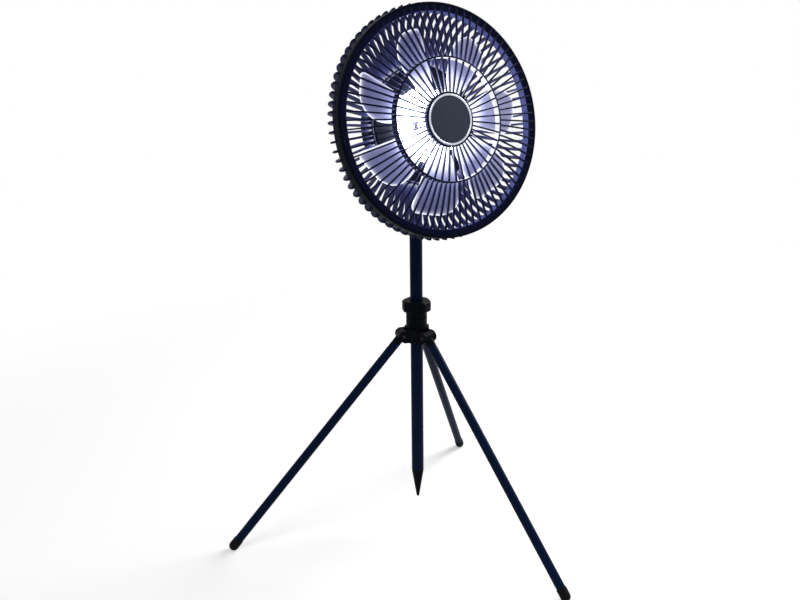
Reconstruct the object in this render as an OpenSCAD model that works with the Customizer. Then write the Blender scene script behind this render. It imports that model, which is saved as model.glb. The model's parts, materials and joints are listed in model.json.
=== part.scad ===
// Portable camping fan: a round fan head with a built-in ring light, tilting on a pole that
// a small three-legged stand clamps. Millimetres, +Z up, the head faces -Y. The origin is
// on the floor, at the centre of the feet's bounding box.

/* [Tripod] */
// Distance from the pole's axis to the centre of each foot
foot_reach = 218; // [180:1:250]
// Height of the leg hinges above the floor
leg_hinge_z = 241.5; // [215:0.5:260]
// Distance from the pole's axis to the leg hinges
leg_hinge_r = 16.5; // [16:0.5:20]
// Outside diameter of a leg tube
leg_d = 10; // [8:0.5:10.5]
// Turn of the first leg around the pole
leg_turn = 282; // [260:1:300]
// Radius of the rubber foot's ball
foot_r = 5.6; // [5.4:0.1:7]
// Length of the rubber foot along the leg
foot_len = 9; // [7:0.5:14]
// How much of the ball is cut flat where it rests
foot_flat = 0.5; // [0.3:0.1:1]
// Radius of the leg's hinge knuckle
knuckle_r = 6.3; // [6:0.1:6.8]
// Width of the leg's hinge knuckle
knuckle_w = 11; // [10.6:0.2:13]
// Length of the knuckle's neck, from the hinge to the leg tube
neck_len = 12; // [11:0.5:16]
// Radius of the leg hinge pin
leg_pin_r = 1.5; // [1.2:0.1:2]
// Thickness of each hinge lug of the spider
lug_t = 2.5; // [2:0.1:3.5]

/* [Collar] */
// Diameter of the spider's body
spider_d = 28; // [27:0.5:32]
// Height of the spider's body
spider_h = 16; // [15.5:0.5:20]
// Diameter of the sleeve above the spider
sleeve_d = 23.4; // [22.6:0.2:26]
// Height of the sleeve
sleeve_h = 19; // [15:0.5:26]
// Diameter of the threaded neck that the nut turns on
thread_d = 20.4; // [20:0.2:21]
// Height of the threaded neck
thread_h = 9.4; // [8:0.2:11]
// Diameter of the clamp nut over its corners
nut_d = 32.4; // [28:0.2:36]
// Height of the clamp nut
nut_h = 12; // [11.6:0.2:15]
// Number of grip flats on the clamp nut
nut_flats = 8; // [6:1:10]
// Outside diameter of the collet
collet_d = 17.4; // [17:0.2:17.6]
// Length of the collet
collet_h = 17; // [14:0.5:20]

/* [Pole] */
// Outside diameter of the pole
pole_d = 14; // [13:0.5:14.5]
// Wall of the pole and leg tubes
tube_wall = 1.2; // [1:0.1:1.6]
// Height of the spike's point above the floor
spike_z = 38.4; // [36.6:0.2:60]
// Length of the ground spike
spike_len = 36; // [25:1:50]
// Radius of the spike's blunt point
spike_tip_r = 1.5; // [1:0.1:3]
// Height of the head's tilt hinge above the floor
tilt_hinge_z = 395; // [380:1:440]
// Length of the plugs inside the tubes
plug_len = 14; // [10:1:20]

/* [Tilt hinge] */
// Tilt of the head at rest, up from level
head_tilt = 12.4; // [0:0.2:25]
// Distance from the rim's front plane back to the tilt hinge
arm_back = 71.5; // [69:0.5:76]
// Distance from the head's axis down to the tilt hinge
arm_drop = 75; // [72:0.5:85]
// Width of the bracket's tongue
tongue_w = 10; // [8:0.5:12]
// Radius of the bracket's tongue around the hinge
tongue_r = 8; // [7:0.2:9]
// Thickness of each cheek of the fork
cheek_t = 3.7; // [3:0.1:5]
// Radius of the collar under the fork
fork_collar_r = 9; // [8:0.2:11]
// Radius of the tilt bolt
bolt_r = 2.5; // [2:0.1:3]
// Radius of the tilt knob
knob_r = 9.5; // [8:0.5:10]
// Length of the tilt knob
knob_len = 10; // [8:0.5:14]
// Width of the bracket's back plate
plate_w = 22; // [18:0.5:26]
// Height of the bracket's back plate
plate_h = 34; // [26:0.5:36]
// Thickness of the bracket's back plate
plate_t = 4.5; // [4:0.1:6]

/* [Rim] */
// Outside diameter of the fan head
head_d = 236; // [228:1:250]
// Depth of the rim band, front to back
rim_depth = 12; // [11:0.5:16]
// Width of the rim's front lip
lip_w = 2.8; // [2.6:0.1:3.2]
// Thickness of the rim's front lip
lip_t = 3; // [2:0.2:3.4]
// Wall of the rim band
rim_wall = 4; // [3.4:0.2:4.6]
// Radius of the rim's rounded front edge
rim_round = 2; // [1.6:0.1:2.4]

/* [Front grille] */
// Rise of the grille's outer arch above the rim, if it ran on to the centre
dome_rise = 16.5; // [14:0.5:20]
// Rise of the grille's flatter middle above the middle ring
middle_rise = 1.4; // [0.8:0.1:4]
// Width of the grille's sloped edge
edge_w = 6.4; // [5:0.2:8]
// How far the sloped edge starts behind the rim's front
edge_set_back = 0.3; // [0:0.1:1]
// How far the grille's opening lies behind the rim's front
edge_drop = 1.8; // [1:0.1:2.4]
// Depth of a front rib
rib_depth = 3; // [2.4:0.1:3.6]
// Width of a front rib
rib_w = 1.5; // [1.2:0.1:1.8]
// Number of ribs between the hub and the middle ring
inner_ribs = 44; // [36:1:48]
// Number of ribs between the middle ring and the rim
outer_ribs = 78; // [70:1:84]
// Outside diameter of the middle ring
mid_ring_d = 126; // [116:1:136]
// Depth of the middle ring, front to back
mid_ring_depth = 8; // [6:0.5:8.5]
// Wall of the grille's rings
ring_wall = 1.8; // [1.4:0.1:2.4]
// Diameter of the hub cap
cap_d = 46.6; // [42:0.2:52]
// Width of the bright ring around the hub cap
trim_w = 2.3; // [1.8:0.1:3]
// Depth of the hub ring, front to back
hub_ring_depth = 6; // [5.4:0.2:7]
// Thickness of the hub's back plate
hub_floor_t = 1.6; // [1.2:0.1:2]

/* [Rear grille] */
// Number of fins
fin_count = 78; // [70:1:84]
// Thickness of a fin
fin_t = 2.2; // [1.8:0.1:2.6]
// How far the fins stand proud of the rim
fin_proud = 2.2; // [1.4:0.1:3.4]
// Radius of the fins' bend
fin_bend = 28; // [26:1:30]
// Depth of a fin across its outer bend
fin_depth = 7.5; // [6.5:0.5:8]
// Depth of the basket's rear edge behind the rim plane
basket_back = 50; // [48:0.5:52]
// Depth of the fins where they meet the inner ring
fin_root = 12; // [10:0.5:13]

/* [Housing] */
// Outside diameter of the motor housing
housing_d = 120; // [114:1:126]
// Depth of the housing's front plate behind the rim plane
housing_front = 34; // [33:0.5:35]
// Depth of the joint between the housing and its rear cover
cover_joint = 56; // [54:0.5:57]
// Depth of the rear cover's back face
cover_back = 68.6; // [68.6:0.1:69]
// Wall of the housing and the rear cover
shell_wall = 2.6; // [2.2:0.1:2.8]
// Radius of the rear cover's rounded edge
cover_round = 6; // [4:0.5:6.5]
// Distance of the housing screws from the axis
boss_pitch_r = 50; // [49:0.5:50.5]
// Angle of the housing screws from the horizontal
boss_angle = 30; // [28:1:32]
// Radius of the screw posts
boss_r = 4; // [3.6:0.1:4.2]
// Radius of the small screws
screw_r = 1.4; // [1.2:0.1:1.6]

/* [Impeller] */
// Number of blades
blade_count = 7; // [5:1:7]
// Gap between the blade tips and the grille's opening
tip_gap = 14; // [13:0.5:20]
// Turn of the first blade from the horizontal
blade_turn = 3.4; // [0:0.2:51]
// Angle from a blade's middle to its rear edge, along the tip
rear_edge = 15.5; // [12:0.5:17]
// Angle from a blade's middle to its front edge, along the root
front_edge = 20; // [16:0.5:21]
// Radius where the long rounding of a blade's front edge starts
edge_start_r = 60; // [50:1:70]
// Thickness of a blade
blade_t = 1.8; // [1.4:0.1:2.4]
// Radius of a blade's camber
camber_r = 80; // [76:2:120]
// Pitch of a blade at its middle
blade_pitch = 20; // [16:1:22]
// Depth of the blades' middle behind the rim plane
blade_mid = 7; // [7:0.5:9]
// Outside diameter of the impeller's hub
hub_d = 34; // [32:0.5:38]
// Depth of the impeller hub's front behind the rim plane
hub_front = 0.5; // [0.5:0.1:1]
// Length of the impeller's hub
hub_len = 22; // [20:0.5:24]

/* [Motor] */
// Outside diameter of the rotor can
can_d = 28; // [26:0.2:28.6]
// Length of the rotor can
can_len = 17; // [15:0.5:17.5]
// Wall of the rotor can
can_wall = 1.2; // [1:0.1:1.4]
// Thickness of the magnet ring
magnet_t = 1.5; // [1.2:0.1:1.8]
// Gap between the magnets and the stator
air_gap = 0.5; // [0.4:0.1:0.8]
// Radius of the motor shaft
shaft_r = 1.5; // [1.2:0.1:2]
// Outside radius of a motor bearing
bearing_r = 4; // [3.6:0.1:4.4]
// Width of a motor bearing
bearing_w = 3; // [2.4:0.1:4]
// Radius of the motor's base flange
motor_base_r = 16; // [15:0.2:17]
// Thickness of the motor's base flange
motor_base_t = 2.4; // [2:0.1:3]

/* [Light] */
// Inside radius of the light ring
light_in_r = 19; // [18.4:0.2:20]
// Outside radius of the light ring
light_out_r = 38; // [34:0.5:44]
// Height of the light diffuser in front of the housing
light_h = 5; // [4:0.2:5.4]
// Wall of the light diffuser
diffuser_wall = 1.4; // [1:0.1:1.8]
// Number of light-emitting diodes
led_count = 24; // [16:1:30]
// Width of a light-emitting diode
led_w = 2.8; // [2:0.1:3.2]
// Thickness of the circuit boards
board_t = 1.6; // [1:0.1:2]

/* [Battery and controls] */
// Number of battery cells
cell_count = 3; // [2:1:3]
// Diameter of a battery cell
cell_d = 21.2; // [18.4:0.1:21.4]
// Length of a battery cell
cell_len = 70; // [65:0.5:70]
// Depth of the cells' centres behind the rim plane
cell_depth = 53.5; // [53:0.1:54]
// Height of the cells' centres above the head's axis
cell_y = -9; // [-10:0.5:-8]
// Height of the indicator's window above the top ends of the cells
lens_rise = 4; // [4:0.1:4.5]
// Height of the control board
pcb_h = 18; // [16:0.5:20]
// Depth of the control board behind the rim plane
pcb_depth = 59.5; // [58:0.5:60]
// Radius of a push button
button_r = 6; // [5:0.2:7]
// Distance of each push button from the middle
button_x = 20; // [18:0.5:24]
// How far a push button stands proud
button_proud = 1.4; // [1.2:0.1:2]
// Travel of a push button
button_travel = 0.8; // [0.5:0.1:0.9]
// Width of the charging socket
usb_w = 9; // [8.4:0.1:9.4]
// Height of the charging socket's opening
usb_h = 3.3; // [2.8:0.1:3.6]
// Width of the socket's rubber flap
flap_w = 15; // [13.6:0.2:18]
// Height of the socket's rubber flap
flap_h = 9; // [8.4:0.2:10]
// Thickness of the socket's rubber flap
flap_t = 1.2; // [1:0.1:1.4]

/* [Fits] */
// Radial clearance of a running fit
run_gap = 0.05; // [0.03:0.01:0.08]
// Clearance of parts seated in the same body
seat_gap = 0.05; // [0.03:0.01:0.1]
// Clearance beside parts that move past each other
side_gap = 0.3; // [0.3:0.05:0.5]

/* [Hidden] */
$fn = 64;

navy = "#0e1424";
blue_black = "#10182c";
plastic = "#101114";
rubber = "#0a0a0b";
lavender = "#a7a9dc";
steel = "#b9bcc0";

eps = 0.01;
legs = [0:2];
leg_az = [for (i = legs) leg_turn + 120 * i];

// Stand: the pole's axis lies off the origin, so that the feet's bounding box is centred.
foot_x = [for (a = leg_az) foot_reach * cos(a)];
foot_y = [for (a = leg_az) foot_reach * sin(a)];
axis_x = -(min(foot_x) + max(foot_x)) / 2;
axis_y = -(min(foot_y) + max(foot_y)) / 2;
foot_ball_z = foot_r - foot_flat;
leg_len = norm([foot_reach - leg_hinge_r, leg_hinge_z - foot_ball_z]);
leg_slope = atan2(leg_hinge_z - foot_ball_z, foot_reach - leg_hinge_r);
leg_r = leg_d / 2;
leg_plug_r = leg_r - tube_wall - seat_gap;
foot_wall = 2;
leg_end = leg_len - foot_wall;

// Collar, from the bottom up.
pole_r = pole_d / 2;
spider_bottom = leg_hinge_z - spider_h / 2 + 0.5;
sleeve_bottom = spider_bottom + spider_h;
thread_bottom = sleeve_bottom + sleeve_h;
nut_bottom = thread_bottom + side_gap;
nut_top = nut_bottom + nut_h;
nut_lip = nut_top - 2;
thread_top = thread_bottom + thread_h;
collet_top = thread_top + 0.5;
collet_bottom = collet_top - collet_h;
slot_w = knuckle_w + 2 * side_gap;
lug_span = slot_w + 2 * lug_t;
slot_r = leg_hinge_r - knuckle_r - 0.4;
groove = 0.8;
slit_w = 1.2;
solid_end = 5;

// Pole.
spike_top = spike_z + spike_len;
fork_r = tongue_r + 0.5;
fork_floor = tilt_hinge_z - tongue_r - 0.4;
fork_base = fork_floor - 3;
pole_plug_r = pole_r - tube_wall - seat_gap;
cheek_in = tongue_w / 2 + side_gap;
cheek_out = cheek_in + cheek_t;
bolt_end = cheek_out + side_gap + knob_len - 1.5;
bolt_head_h = 3;
grip_r = 2.4;

// Head: radii and depths in the head's own frame, whose +Z looks forward.
head_r = head_d / 2;
lip_r = head_r - lip_w;
band_in_r = head_r - rim_wall;
mid_r = mid_ring_d / 2;
cap_r = cap_d / 2;
trim_r = cap_r + seat_gap + trim_w;
hub_ring_in_r = trim_r + seat_gap;
hub_ring_r = hub_ring_in_r + ring_wall;
grille_r = band_in_r - seat_gap;
edge_r = lip_r - seat_gap;
open_r = edge_r - edge_w;
// The front grille is two slices of ball shells, so its height follows from its radius.
function ball_r(rise, r) = (r * r + rise * rise) / (2 * rise);
function ball_at(ball, r) = ball[1] + sqrt(ball[0] * ball[0] - r * r);
dome = [ball_r(dome_rise, edge_r), dome_rise - ball_r(dome_rise, edge_r)];
mid_z = ball_at(dome, mid_r);
middle = [ball_r(middle_rise, mid_r), mid_z + middle_rise - ball_r(middle_rise, mid_r)];
hub_z = ball_at(middle, hub_ring_r) + 0.4;
flange_back = -lip_t - 4;
skirt_back = -rim_depth + 0.5;
basket_front = -rim_depth - seat_gap;
housing_r = housing_d / 2;
housing_in_r = housing_r - shell_wall;
inner_ring_r = housing_r + seat_gap;
fin_root_r = inner_ring_r + 1;
fin_out_r = head_r + fin_proud;
bend_r = fin_out_r - fin_bend;
bend_z = basket_front - 1.6;
fin_root_z = -basket_back;
// Angle at which the fin's bend runs on into its straight stretch.
fin_dx = bend_r - fin_root_r;
fin_dz = bend_z - fin_root_z;
fin_dist = norm([fin_dx, fin_dz]);
fin_turn = atan2(fin_dz, -fin_dx) - acos(fin_bend / fin_dist);
plate_z = -housing_front - shell_wall;
cover_in = cover_back - shell_wall;
post_end = cover_joint + 3;
screw_seat = cover_back - 3;
screw_head_h = 1.8;
// How far a housing screw reaches into its post, and how much deeper its hole is.
screw_bite = 9;
hole_spare = 3;

// Impeller and motor.
blade_tip_r = open_r - tip_gap;
hub_r = hub_d / 2;
corner = 9;
can_r = can_d / 2;
can_front = -hub_front - 3;
can_back = can_front - can_len;
magnet_r = can_r - can_wall - seat_gap;
magnet_in_r = magnet_r - magnet_t;
stator_r = magnet_in_r - air_gap;
bearing_seat_r = bearing_r + seat_gap;
motor_tube_r = bearing_seat_r + 1;
motor_front = can_front - 4;
motor_base_front = -housing_front + motor_base_t;
spinner_h = 3;
spinner_r = 6;
flat_head_h = 1.4;
stator_poles = 9;
core_r = motor_tube_r + 3;
shoe_t = 1.3;
tooth_w = 1.8;

// Light.
led_r = (light_in_r + light_out_r) / 2;
board_front = -housing_front + board_t;
led_h = 0.9;

// Battery and controls.
board_gap = 1.4;
cell_step = cell_d + 0.4;
cells_w = cell_count * cell_step;
lens_y = cell_y + cell_len / 2 + lens_rise;
lens_w = 12;
lens_h = 2.4;
pcb_y = lens_y + flap_h / 2 + 4.5;
pcb_back = -pcb_depth - board_t;
// The board's top corners keep clear of the housing's wall.
pcb_w = 2 * sqrt(pow(housing_in_r - board_gap, 2) - pow(pcb_y + pcb_h / 2, 2));
button_flange_t = 1.4;
button_edge = 0.7;
button_top = -cover_back - button_proud;
button_foot = -cover_in + button_flange_t + side_gap;
switch_h = -button_foot - pcb_depth - board_t - button_travel - 0.1;
switch_w = 6;
plunger_h = 0.8;
plunger_r = 1.6;
usb_back = -cover_back + flap_t + 0.5;
usb_wall = 0.4;
tab_w = 3;
tab_t = 0.8;
chip_w = 4;
chip_h = 1.2;
flap_hinge_y = pcb_y + flap_h / 2 - flap_t / 2;
plate_top = plate_h - arm_drop + tongue_r + 4;
plate_bottom = -arm_drop + tongue_r + 4;

// ---- Placing ----

module on_pole() { translate([axis_x, axis_y, 0]) children(); }

module on_leg(i) {
    on_pole() rotate(leg_az[i]) translate([leg_hinge_r, 0, leg_hinge_z])
        rotate([0, 90 + leg_slope, 0]) children();
}

module on_tilt() {
    on_pole() translate([0, 0, tilt_hinge_z]) children();
}

module in_head() {
    on_tilt() rotate([-head_tilt, 0, 0]) translate([0, -arm_back, arm_drop])
        rotate([90, 0, 0]) children();
}

module ring(r_out, r_in, z0, z1) {
    rotate_extrude() translate([r_in, z0]) square([r_out - r_in, z1 - z0]);
}

module rod(r, z0, z1) { translate([0, 0, z0]) cylinder(r = r, h = z1 - z0); }

// ---- Stand ----

module lug_outline() {
    circle(knuckle_r + 0.3);
    translate([-leg_hinge_r + spider_d / 4, -spider_h / 2 + 0.5])
        square([leg_hinge_r - spider_d / 4, spider_h / 2 + knuckle_r - 0.2]);
}

module lugs(i) {
    rotate(leg_az[i]) translate([leg_hinge_r, 0, leg_hinge_z]) rotate([90, 0, 0])
        translate([0, 0, -lug_span / 2]) linear_extrude(lug_span) lug_outline();
}

module leg_slot(i) {
    rotate(leg_az[i]) translate([slot_r, -slot_w / 2, spider_bottom - 1])
        cube([leg_hinge_r + knuckle_r, slot_w, spider_h + 1]);
    rotate(leg_az[i]) translate([leg_hinge_r, 0, leg_hinge_z]) rotate([90, 0, 0])
        cylinder(r = leg_pin_r + seat_gap, h = lug_span + 2, center = true);
}

module spider() color(plastic) on_pole() difference() {
    union() {
        rod(spider_d / 2, spider_bottom, sleeve_bottom);
        rod(sleeve_d / 2, sleeve_bottom - 1, thread_bottom);
        rod(thread_d / 2, thread_bottom - 1, thread_top);
        for (i = legs) lugs(i);
    }
    for (i = legs) leg_slot(i);
    rod(pole_r + side_gap, spider_bottom - 1, thread_top + 1);
    rod(collet_d / 2 + run_gap, collet_bottom - side_gap, thread_top + 1);
    ring(sleeve_d / 2 + 1, sleeve_d / 2 - groove, thread_bottom - 6.4, thread_bottom - 5.2);
}

module leg_pins() color(steel) on_pole() for (i = legs)
    rotate(leg_az[i]) translate([leg_hinge_r, 0, leg_hinge_z]) rotate([90, 0, 0])
        cylinder(r = leg_pin_r, h = lug_span, center = true);

module clamp_nut() color(plastic) on_pole() difference() {
    intersection() {
        rod(nut_d / 2, nut_bottom, nut_top);
        translate([0, 0, nut_bottom]) linear_extrude(nut_h)
            circle(r = nut_d / 2 * 1.035, $fn = nut_flats);
        rotate_extrude() polygon([[0, nut_bottom], [nut_d / 2 - 1.2, nut_bottom],
            [nut_d / 2 + eps, nut_bottom + 1.2], [nut_d / 2 + eps, nut_top - 1.6],
            [nut_d / 2 - 2.4, nut_top], [0, nut_top]]);
    }
    rod(thread_d / 2 + run_gap, nut_bottom - 1, nut_lip);
    rod(pole_r + side_gap, nut_lip - 1, nut_top + 1);
}

module collet() color(plastic) on_pole() difference() {
    rod(collet_d / 2, collet_bottom, collet_top);
    rod(pole_r + run_gap, collet_bottom - 1, collet_top + 1);
    for (a = [0:60:150]) rotate(a)
        translate([-collet_d, -slit_w / 2, collet_bottom + solid_end])
            cube([2 * collet_d, slit_w, collet_h]);
}

module leg_knuckle(i) color(plastic) on_leg(i) difference() {
    union() {
        rotate([90, 0, 0]) cylinder(r = knuckle_r, h = knuckle_w, center = true);
        rod(leg_r, 0, neck_len);
        rod(leg_plug_r, neck_len - 1, neck_len + plug_len);
    }
    rotate([90, 0, 0]) cylinder(r = leg_pin_r + run_gap, h = knuckle_w + 2, center = true);
}

module leg_tube(i) color(blue_black) on_leg(i) difference() {
    rod(leg_r, neck_len, leg_end);
    rod(leg_r - tube_wall, neck_len - 1, leg_end + 1);
}

module leg_foot(i) color(rubber) intersection() {
    on_leg(i) difference() {
        union() {
            translate([0, 0, leg_len]) sphere(foot_r);
            rod(foot_r, leg_len - foot_len, leg_len);
        }
        rod(leg_r + seat_gap, leg_len - foot_len - 1, leg_end + seat_gap);
    }
    translate([-2 * foot_reach, -2 * foot_reach, 0]) cube(4 * foot_reach);
}

module leg_knuckle_1() leg_knuckle(0);
module leg_knuckle_2() leg_knuckle(1);
module leg_knuckle_3() leg_knuckle(2);
module leg_tube_1() leg_tube(0);
module leg_tube_2() leg_tube(1);
module leg_tube_3() leg_tube(2);
module leg_foot_1() leg_foot(0);
module leg_foot_2() leg_foot(1);
module leg_foot_3() leg_foot(2);

// ---- Pole and tilt hinge ----

module pole_tube() color(navy) on_pole() difference() {
    rod(pole_r, spike_top, fork_base);
    rod(pole_r - tube_wall, spike_top - 1, fork_base + 1);
}

module ground_spike() color(plastic) on_pole() {
    rotate_extrude() polygon([[0, spike_z], [spike_tip_r - 0.5, spike_z],
        [spike_tip_r, spike_z + 0.6], [pole_r - 0.1, spike_top - 2], [pole_r - 0.1, spike_top],
        [pole_plug_r, spike_top], [pole_plug_r, spike_top + plug_len], [0, spike_top + plug_len]]);
}

module cheek_outline() {
    circle(fork_r);
    translate([-fork_r, fork_base - tilt_hinge_z]) square([2 * fork_r, tilt_hinge_z - fork_base]);
}

module tilt_fork() color(plastic) difference() {
    union() {
        on_pole() rod(pole_plug_r, fork_base - plug_len, fork_base + 1);
        on_pole() rod(fork_collar_r, fork_base, fork_floor);
        on_tilt() intersection() {
            rotate([90, 0, 90]) translate([0, 0, -cheek_out])
                linear_extrude(2 * cheek_out) cheek_outline();
            cylinder(r = norm([cheek_out, fork_r]) - 1.5, h = 4 * fork_r, center = true);
        }
    }
    on_tilt() translate([-cheek_in, -fork_collar_r - 1, fork_floor - tilt_hinge_z])
        cube([2 * cheek_in, 2 * fork_collar_r + 2, 4 * fork_r]);
    on_tilt() rotate([0, 90, 0]) cylinder(r = bolt_r + seat_gap, h = 4 * cheek_out, center = true);
}

module tilt_bolt() color(steel) on_tilt() rotate([0, 90, 0]) {
    rod(bolt_r, -cheek_out - 1, bolt_end);
    difference() {
        rod(2 * bolt_r, -cheek_out - bolt_head_h, -cheek_out);
        translate([0, 0, -cheek_out - bolt_head_h - 1]) linear_extrude(2.6) circle(bolt_r, $fn = 6);
    }
}

module tilt_knob() color(plastic) on_tilt() rotate([0, 90, 0]) difference() {
    rod(knob_r, cheek_out + side_gap, cheek_out + side_gap + knob_len);
    rod(bolt_r + run_gap, cheek_out, bolt_end + side_gap);
    for (a = [0:45:315]) rotate(a)
        translate([knob_r + 1.2, 0, cheek_out + side_gap + 2]) cylinder(r = grip_r, h = knob_len);
}

module head_bracket() color(plastic) in_head() difference() {
    union() {
        translate([0, -arm_drop, -arm_back]) rotate([0, 90, 0])
            cylinder(r = tongue_r, h = tongue_w, center = true);
        translate([-tongue_w / 2, -arm_drop, -cover_back - plate_t])
            cube([tongue_w, plate_h / 2, plate_t]);
        translate([-plate_w / 2, plate_bottom, -cover_back - plate_t])
            cube([plate_w, plate_top - plate_bottom, plate_t]);
    }
    translate([0, -arm_drop, -arm_back]) rotate([0, 90, 0])
        cylinder(r = bolt_r + run_gap, h = 2 * tongue_w, center = true);
    bracket_holes(screw_r + seat_gap, 2 * screw_r + seat_gap);
}

module bracket_spots() {
    for (x = [-1, 1], y = [0.32, 0.8])
        translate([x * (plate_w / 2 - 4.5), plate_bottom + y * (plate_top - plate_bottom), 0])
            children();
}

module bracket_holes(r, head_r) bracket_spots() {
    rod(r, -cover_back - plate_t - 1, -cover_in + 3);
    rod(head_r, -cover_back - plate_t - 1, -cover_back - plate_t + 1.6);
}

module screw(r, z_head, head_h, z_tip) difference() {
    union() {
        rod(2 * r, z_head, z_head + head_h);
        rod(r, z_head, z_tip);
    }
    for (a = [0, 90]) rotate(a) translate([-1.1 * r, -0.25 * r, z_head - 1])
        cube([2.2 * r, 0.5 * r, 1 + 0.6 * head_h]);
}

module bracket_screws() color(steel) in_head() bracket_spots()
    screw(screw_r, -cover_back - plate_t + 0.1, 1.5, -cover_in + 1);

// ---- Rim and grilles ----

// The rim's front has a rebate, and the front grille's edge sits in it.
module rim_outline() {
    translate([lip_r, -lip_t]) square([lip_w - rim_round, lip_t]);
    translate([lip_r, -lip_t]) square([lip_w, lip_t - rim_round]);
    translate([head_r - rim_round, -rim_round]) intersection() {
        circle(rim_round);
        square(rim_round);
    }
    translate([band_in_r, -rim_depth]) square([rim_wall, rim_depth - lip_t]);
}

module rim_band() color(navy) in_head() rotate_extrude($fn = 180) rim_outline();

// A rib from radius r0 to r1, cut from a ball shell given as [radius, centre height].
module dome_slice(ball, r0, r1) {
    rotate([90, 0, 0]) translate([0, 0, -rib_w / 2]) linear_extrude(rib_w) intersection() {
        translate([0, ball[1]]) difference() {
            circle(ball[0], $fn = 720);
            circle(ball[0] - rib_depth, $fn = 720);
        }
        translate([r0, -edge_drop - 0.4]) square([r1 - r0, 2 * dome_rise]);
    }
}

// The grille's edge: a slope at the front, a flange behind it and a skirt towards the fins.
module edge_outline() polygon([
    [open_r, -edge_drop], [edge_r, -edge_set_back], [edge_r, -lip_t + seat_gap],
    [grille_r, -lip_t + seat_gap], [grille_r, flange_back], [open_r + ring_wall, flange_back],
    [open_r + ring_wall, skirt_back], [open_r, skirt_back]]);

// Curved ribs run from the hub ring to the middle ring, and on over the sloped edge.
module front_grille() color(navy) in_head() {
    for (i = [0:inner_ribs - 1]) rotate(i * 360 / inner_ribs)
        dome_slice(middle, hub_ring_r - 0.8, mid_r - ring_wall / 2);
    for (i = [0:outer_ribs - 1]) rotate(i * 360 / outer_ribs)
        dome_slice(dome, mid_r - ring_wall / 2, edge_r - 0.5);
    ring(hub_ring_r, hub_ring_in_r, hub_z - hub_ring_depth, hub_z);
    rod(hub_ring_in_r + 0.5, hub_z - hub_ring_depth, hub_z - hub_ring_depth + hub_floor_t);
    ring(mid_r, mid_r - ring_wall, mid_z - mid_ring_depth, mid_z + 0.3);
    rotate_extrude($fn = 180) edge_outline();
}

module hub_cap() color("#343c48") in_head() rotate_extrude()
    polygon([[0, hub_z - hub_ring_depth + hub_floor_t + seat_gap],
        [cap_r, hub_z - hub_ring_depth + hub_floor_t + seat_gap],
        [cap_r, hub_z - 0.6], [cap_r - 0.6, hub_z], [cap_r * 0.5, hub_z + 0.45], [0, hub_z + 0.6]]);

module hub_trim_ring() color(steel) in_head() rotate_extrude() polygon([
    [cap_r + seat_gap, hub_z - hub_ring_depth + hub_floor_t + seat_gap],
    [trim_r, hub_z - hub_ring_depth + hub_floor_t + seat_gap], [trim_r, hub_z + 0.1],
    [trim_r - 0.5, hub_z + 0.6], [cap_r + seat_gap + 0.5, hub_z + 0.6],
    [cap_r + seat_gap, hub_z + 0.1]]);

// Outline of a fin, as (radius, forward): an outer bend, and a straight run to the root.
module fin_outline() {
    inner = fin_bend - fin_depth;
    bend = [for (k = [0:8]) k * fin_turn / 8];
    polygon(concat(
        [[fin_out_r - 1.2, basket_front - 1], [fin_out_r, bend_z]],
        [for (t = bend) [bend_r + fin_bend * cos(t), bend_z - fin_bend * sin(t)]],
        [[fin_root_r, fin_root_z], [fin_root_r, fin_root_z + fin_root]],
        [for (k = [8:-1:0]) [bend_r + inner * cos(bend[k]), bend_z - inner * sin(bend[k])]],
        [[bend_r + inner, basket_front - 1]]));
}

module rear_grille() color(navy) in_head() {
    for (i = [0:fin_count - 1]) rotate(i * 360 / fin_count)
        rotate([90, 0, 0]) translate([0, 0, -fin_t / 2]) linear_extrude(fin_t) fin_outline();
    ring(head_r - 0.5, open_r, basket_front - 3, basket_front);
    ring(inner_ring_r + 2.4, inner_ring_r, fin_root_z - 0.6, fin_root_z + fin_root + 0.6);
}

// ---- Housing ----

module boss_spots() {
    for (x = [-1, 1], y = [-1, 1])
        translate([x * boss_pitch_r * cos(boss_angle), y * boss_pitch_r * sin(boss_angle), 0])
            children();
}

module posts(r, z0, z1) { boss_spots() rod(r, z0, z1); }

module motor_housing() color(plastic) in_head() difference() {
    union() {
        rod(housing_r, plate_z, -housing_front);
        ring(housing_r, housing_in_r, -cover_joint, plate_z + 1);
        posts(boss_r, -post_end, plate_z + 1);
    }
    posts(screw_r + seat_gap, -post_end - 1, -post_end + screw_bite + hole_spare);
    motor_spots() rod(screw_r + seat_gap, plate_z - 1, -housing_front + 1);
    rod(motor_tube_r + 1, plate_z - 1, -housing_front + 1);
}

module cover_outline(r, back, round) {
    translate([0, -back]) square([r - round, back - cover_joint]);
    translate([0, -back + round]) square([r, back - round - cover_joint]);
    translate([r - round, -back + round]) circle(round);
}

module rear_cover() color(plastic) in_head() difference() {
    union() {
        difference() {
            rotate_extrude($fn = 180) cover_outline(housing_r, cover_back, cover_round);
            rotate_extrude($fn = 180)
                cover_outline(housing_in_r, cover_in, cover_round - shell_wall);
            rod(housing_in_r, -cover_joint - 1, -cover_joint + 1);
        }
        posts(boss_r, -cover_in - 1, -post_end);
    }
    posts(screw_r + 0.2, -cover_back - 1, -post_end + 1);
    posts(2 * screw_r + 0.2, -cover_back - 1, -screw_seat);
    bracket_spots() rod(screw_r + seat_gap, -cover_back - 1, -cover_in + 1);
    for (s = [-1, 1]) translate([s * button_x, pcb_y, 0])
        rod(button_r + side_gap, -cover_back - 1, -cover_in + 1);
    translate([-flap_w / 2 - side_gap, pcb_y - flap_h / 2 - side_gap, -cover_back - 1])
        cube([flap_w + 2 * side_gap, flap_h + 2 * side_gap, 1 + flap_t + side_gap]);
    translate([-usb_w / 2 - 0.8, pcb_y - usb_h / 2 - 0.8, -cover_back - 1])
        cube([usb_w + 1.6, usb_h + 1.6, shell_wall + 2]);
    lens_body(seat_gap, -cover_back - 1, -cover_in + 1);
}

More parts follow.
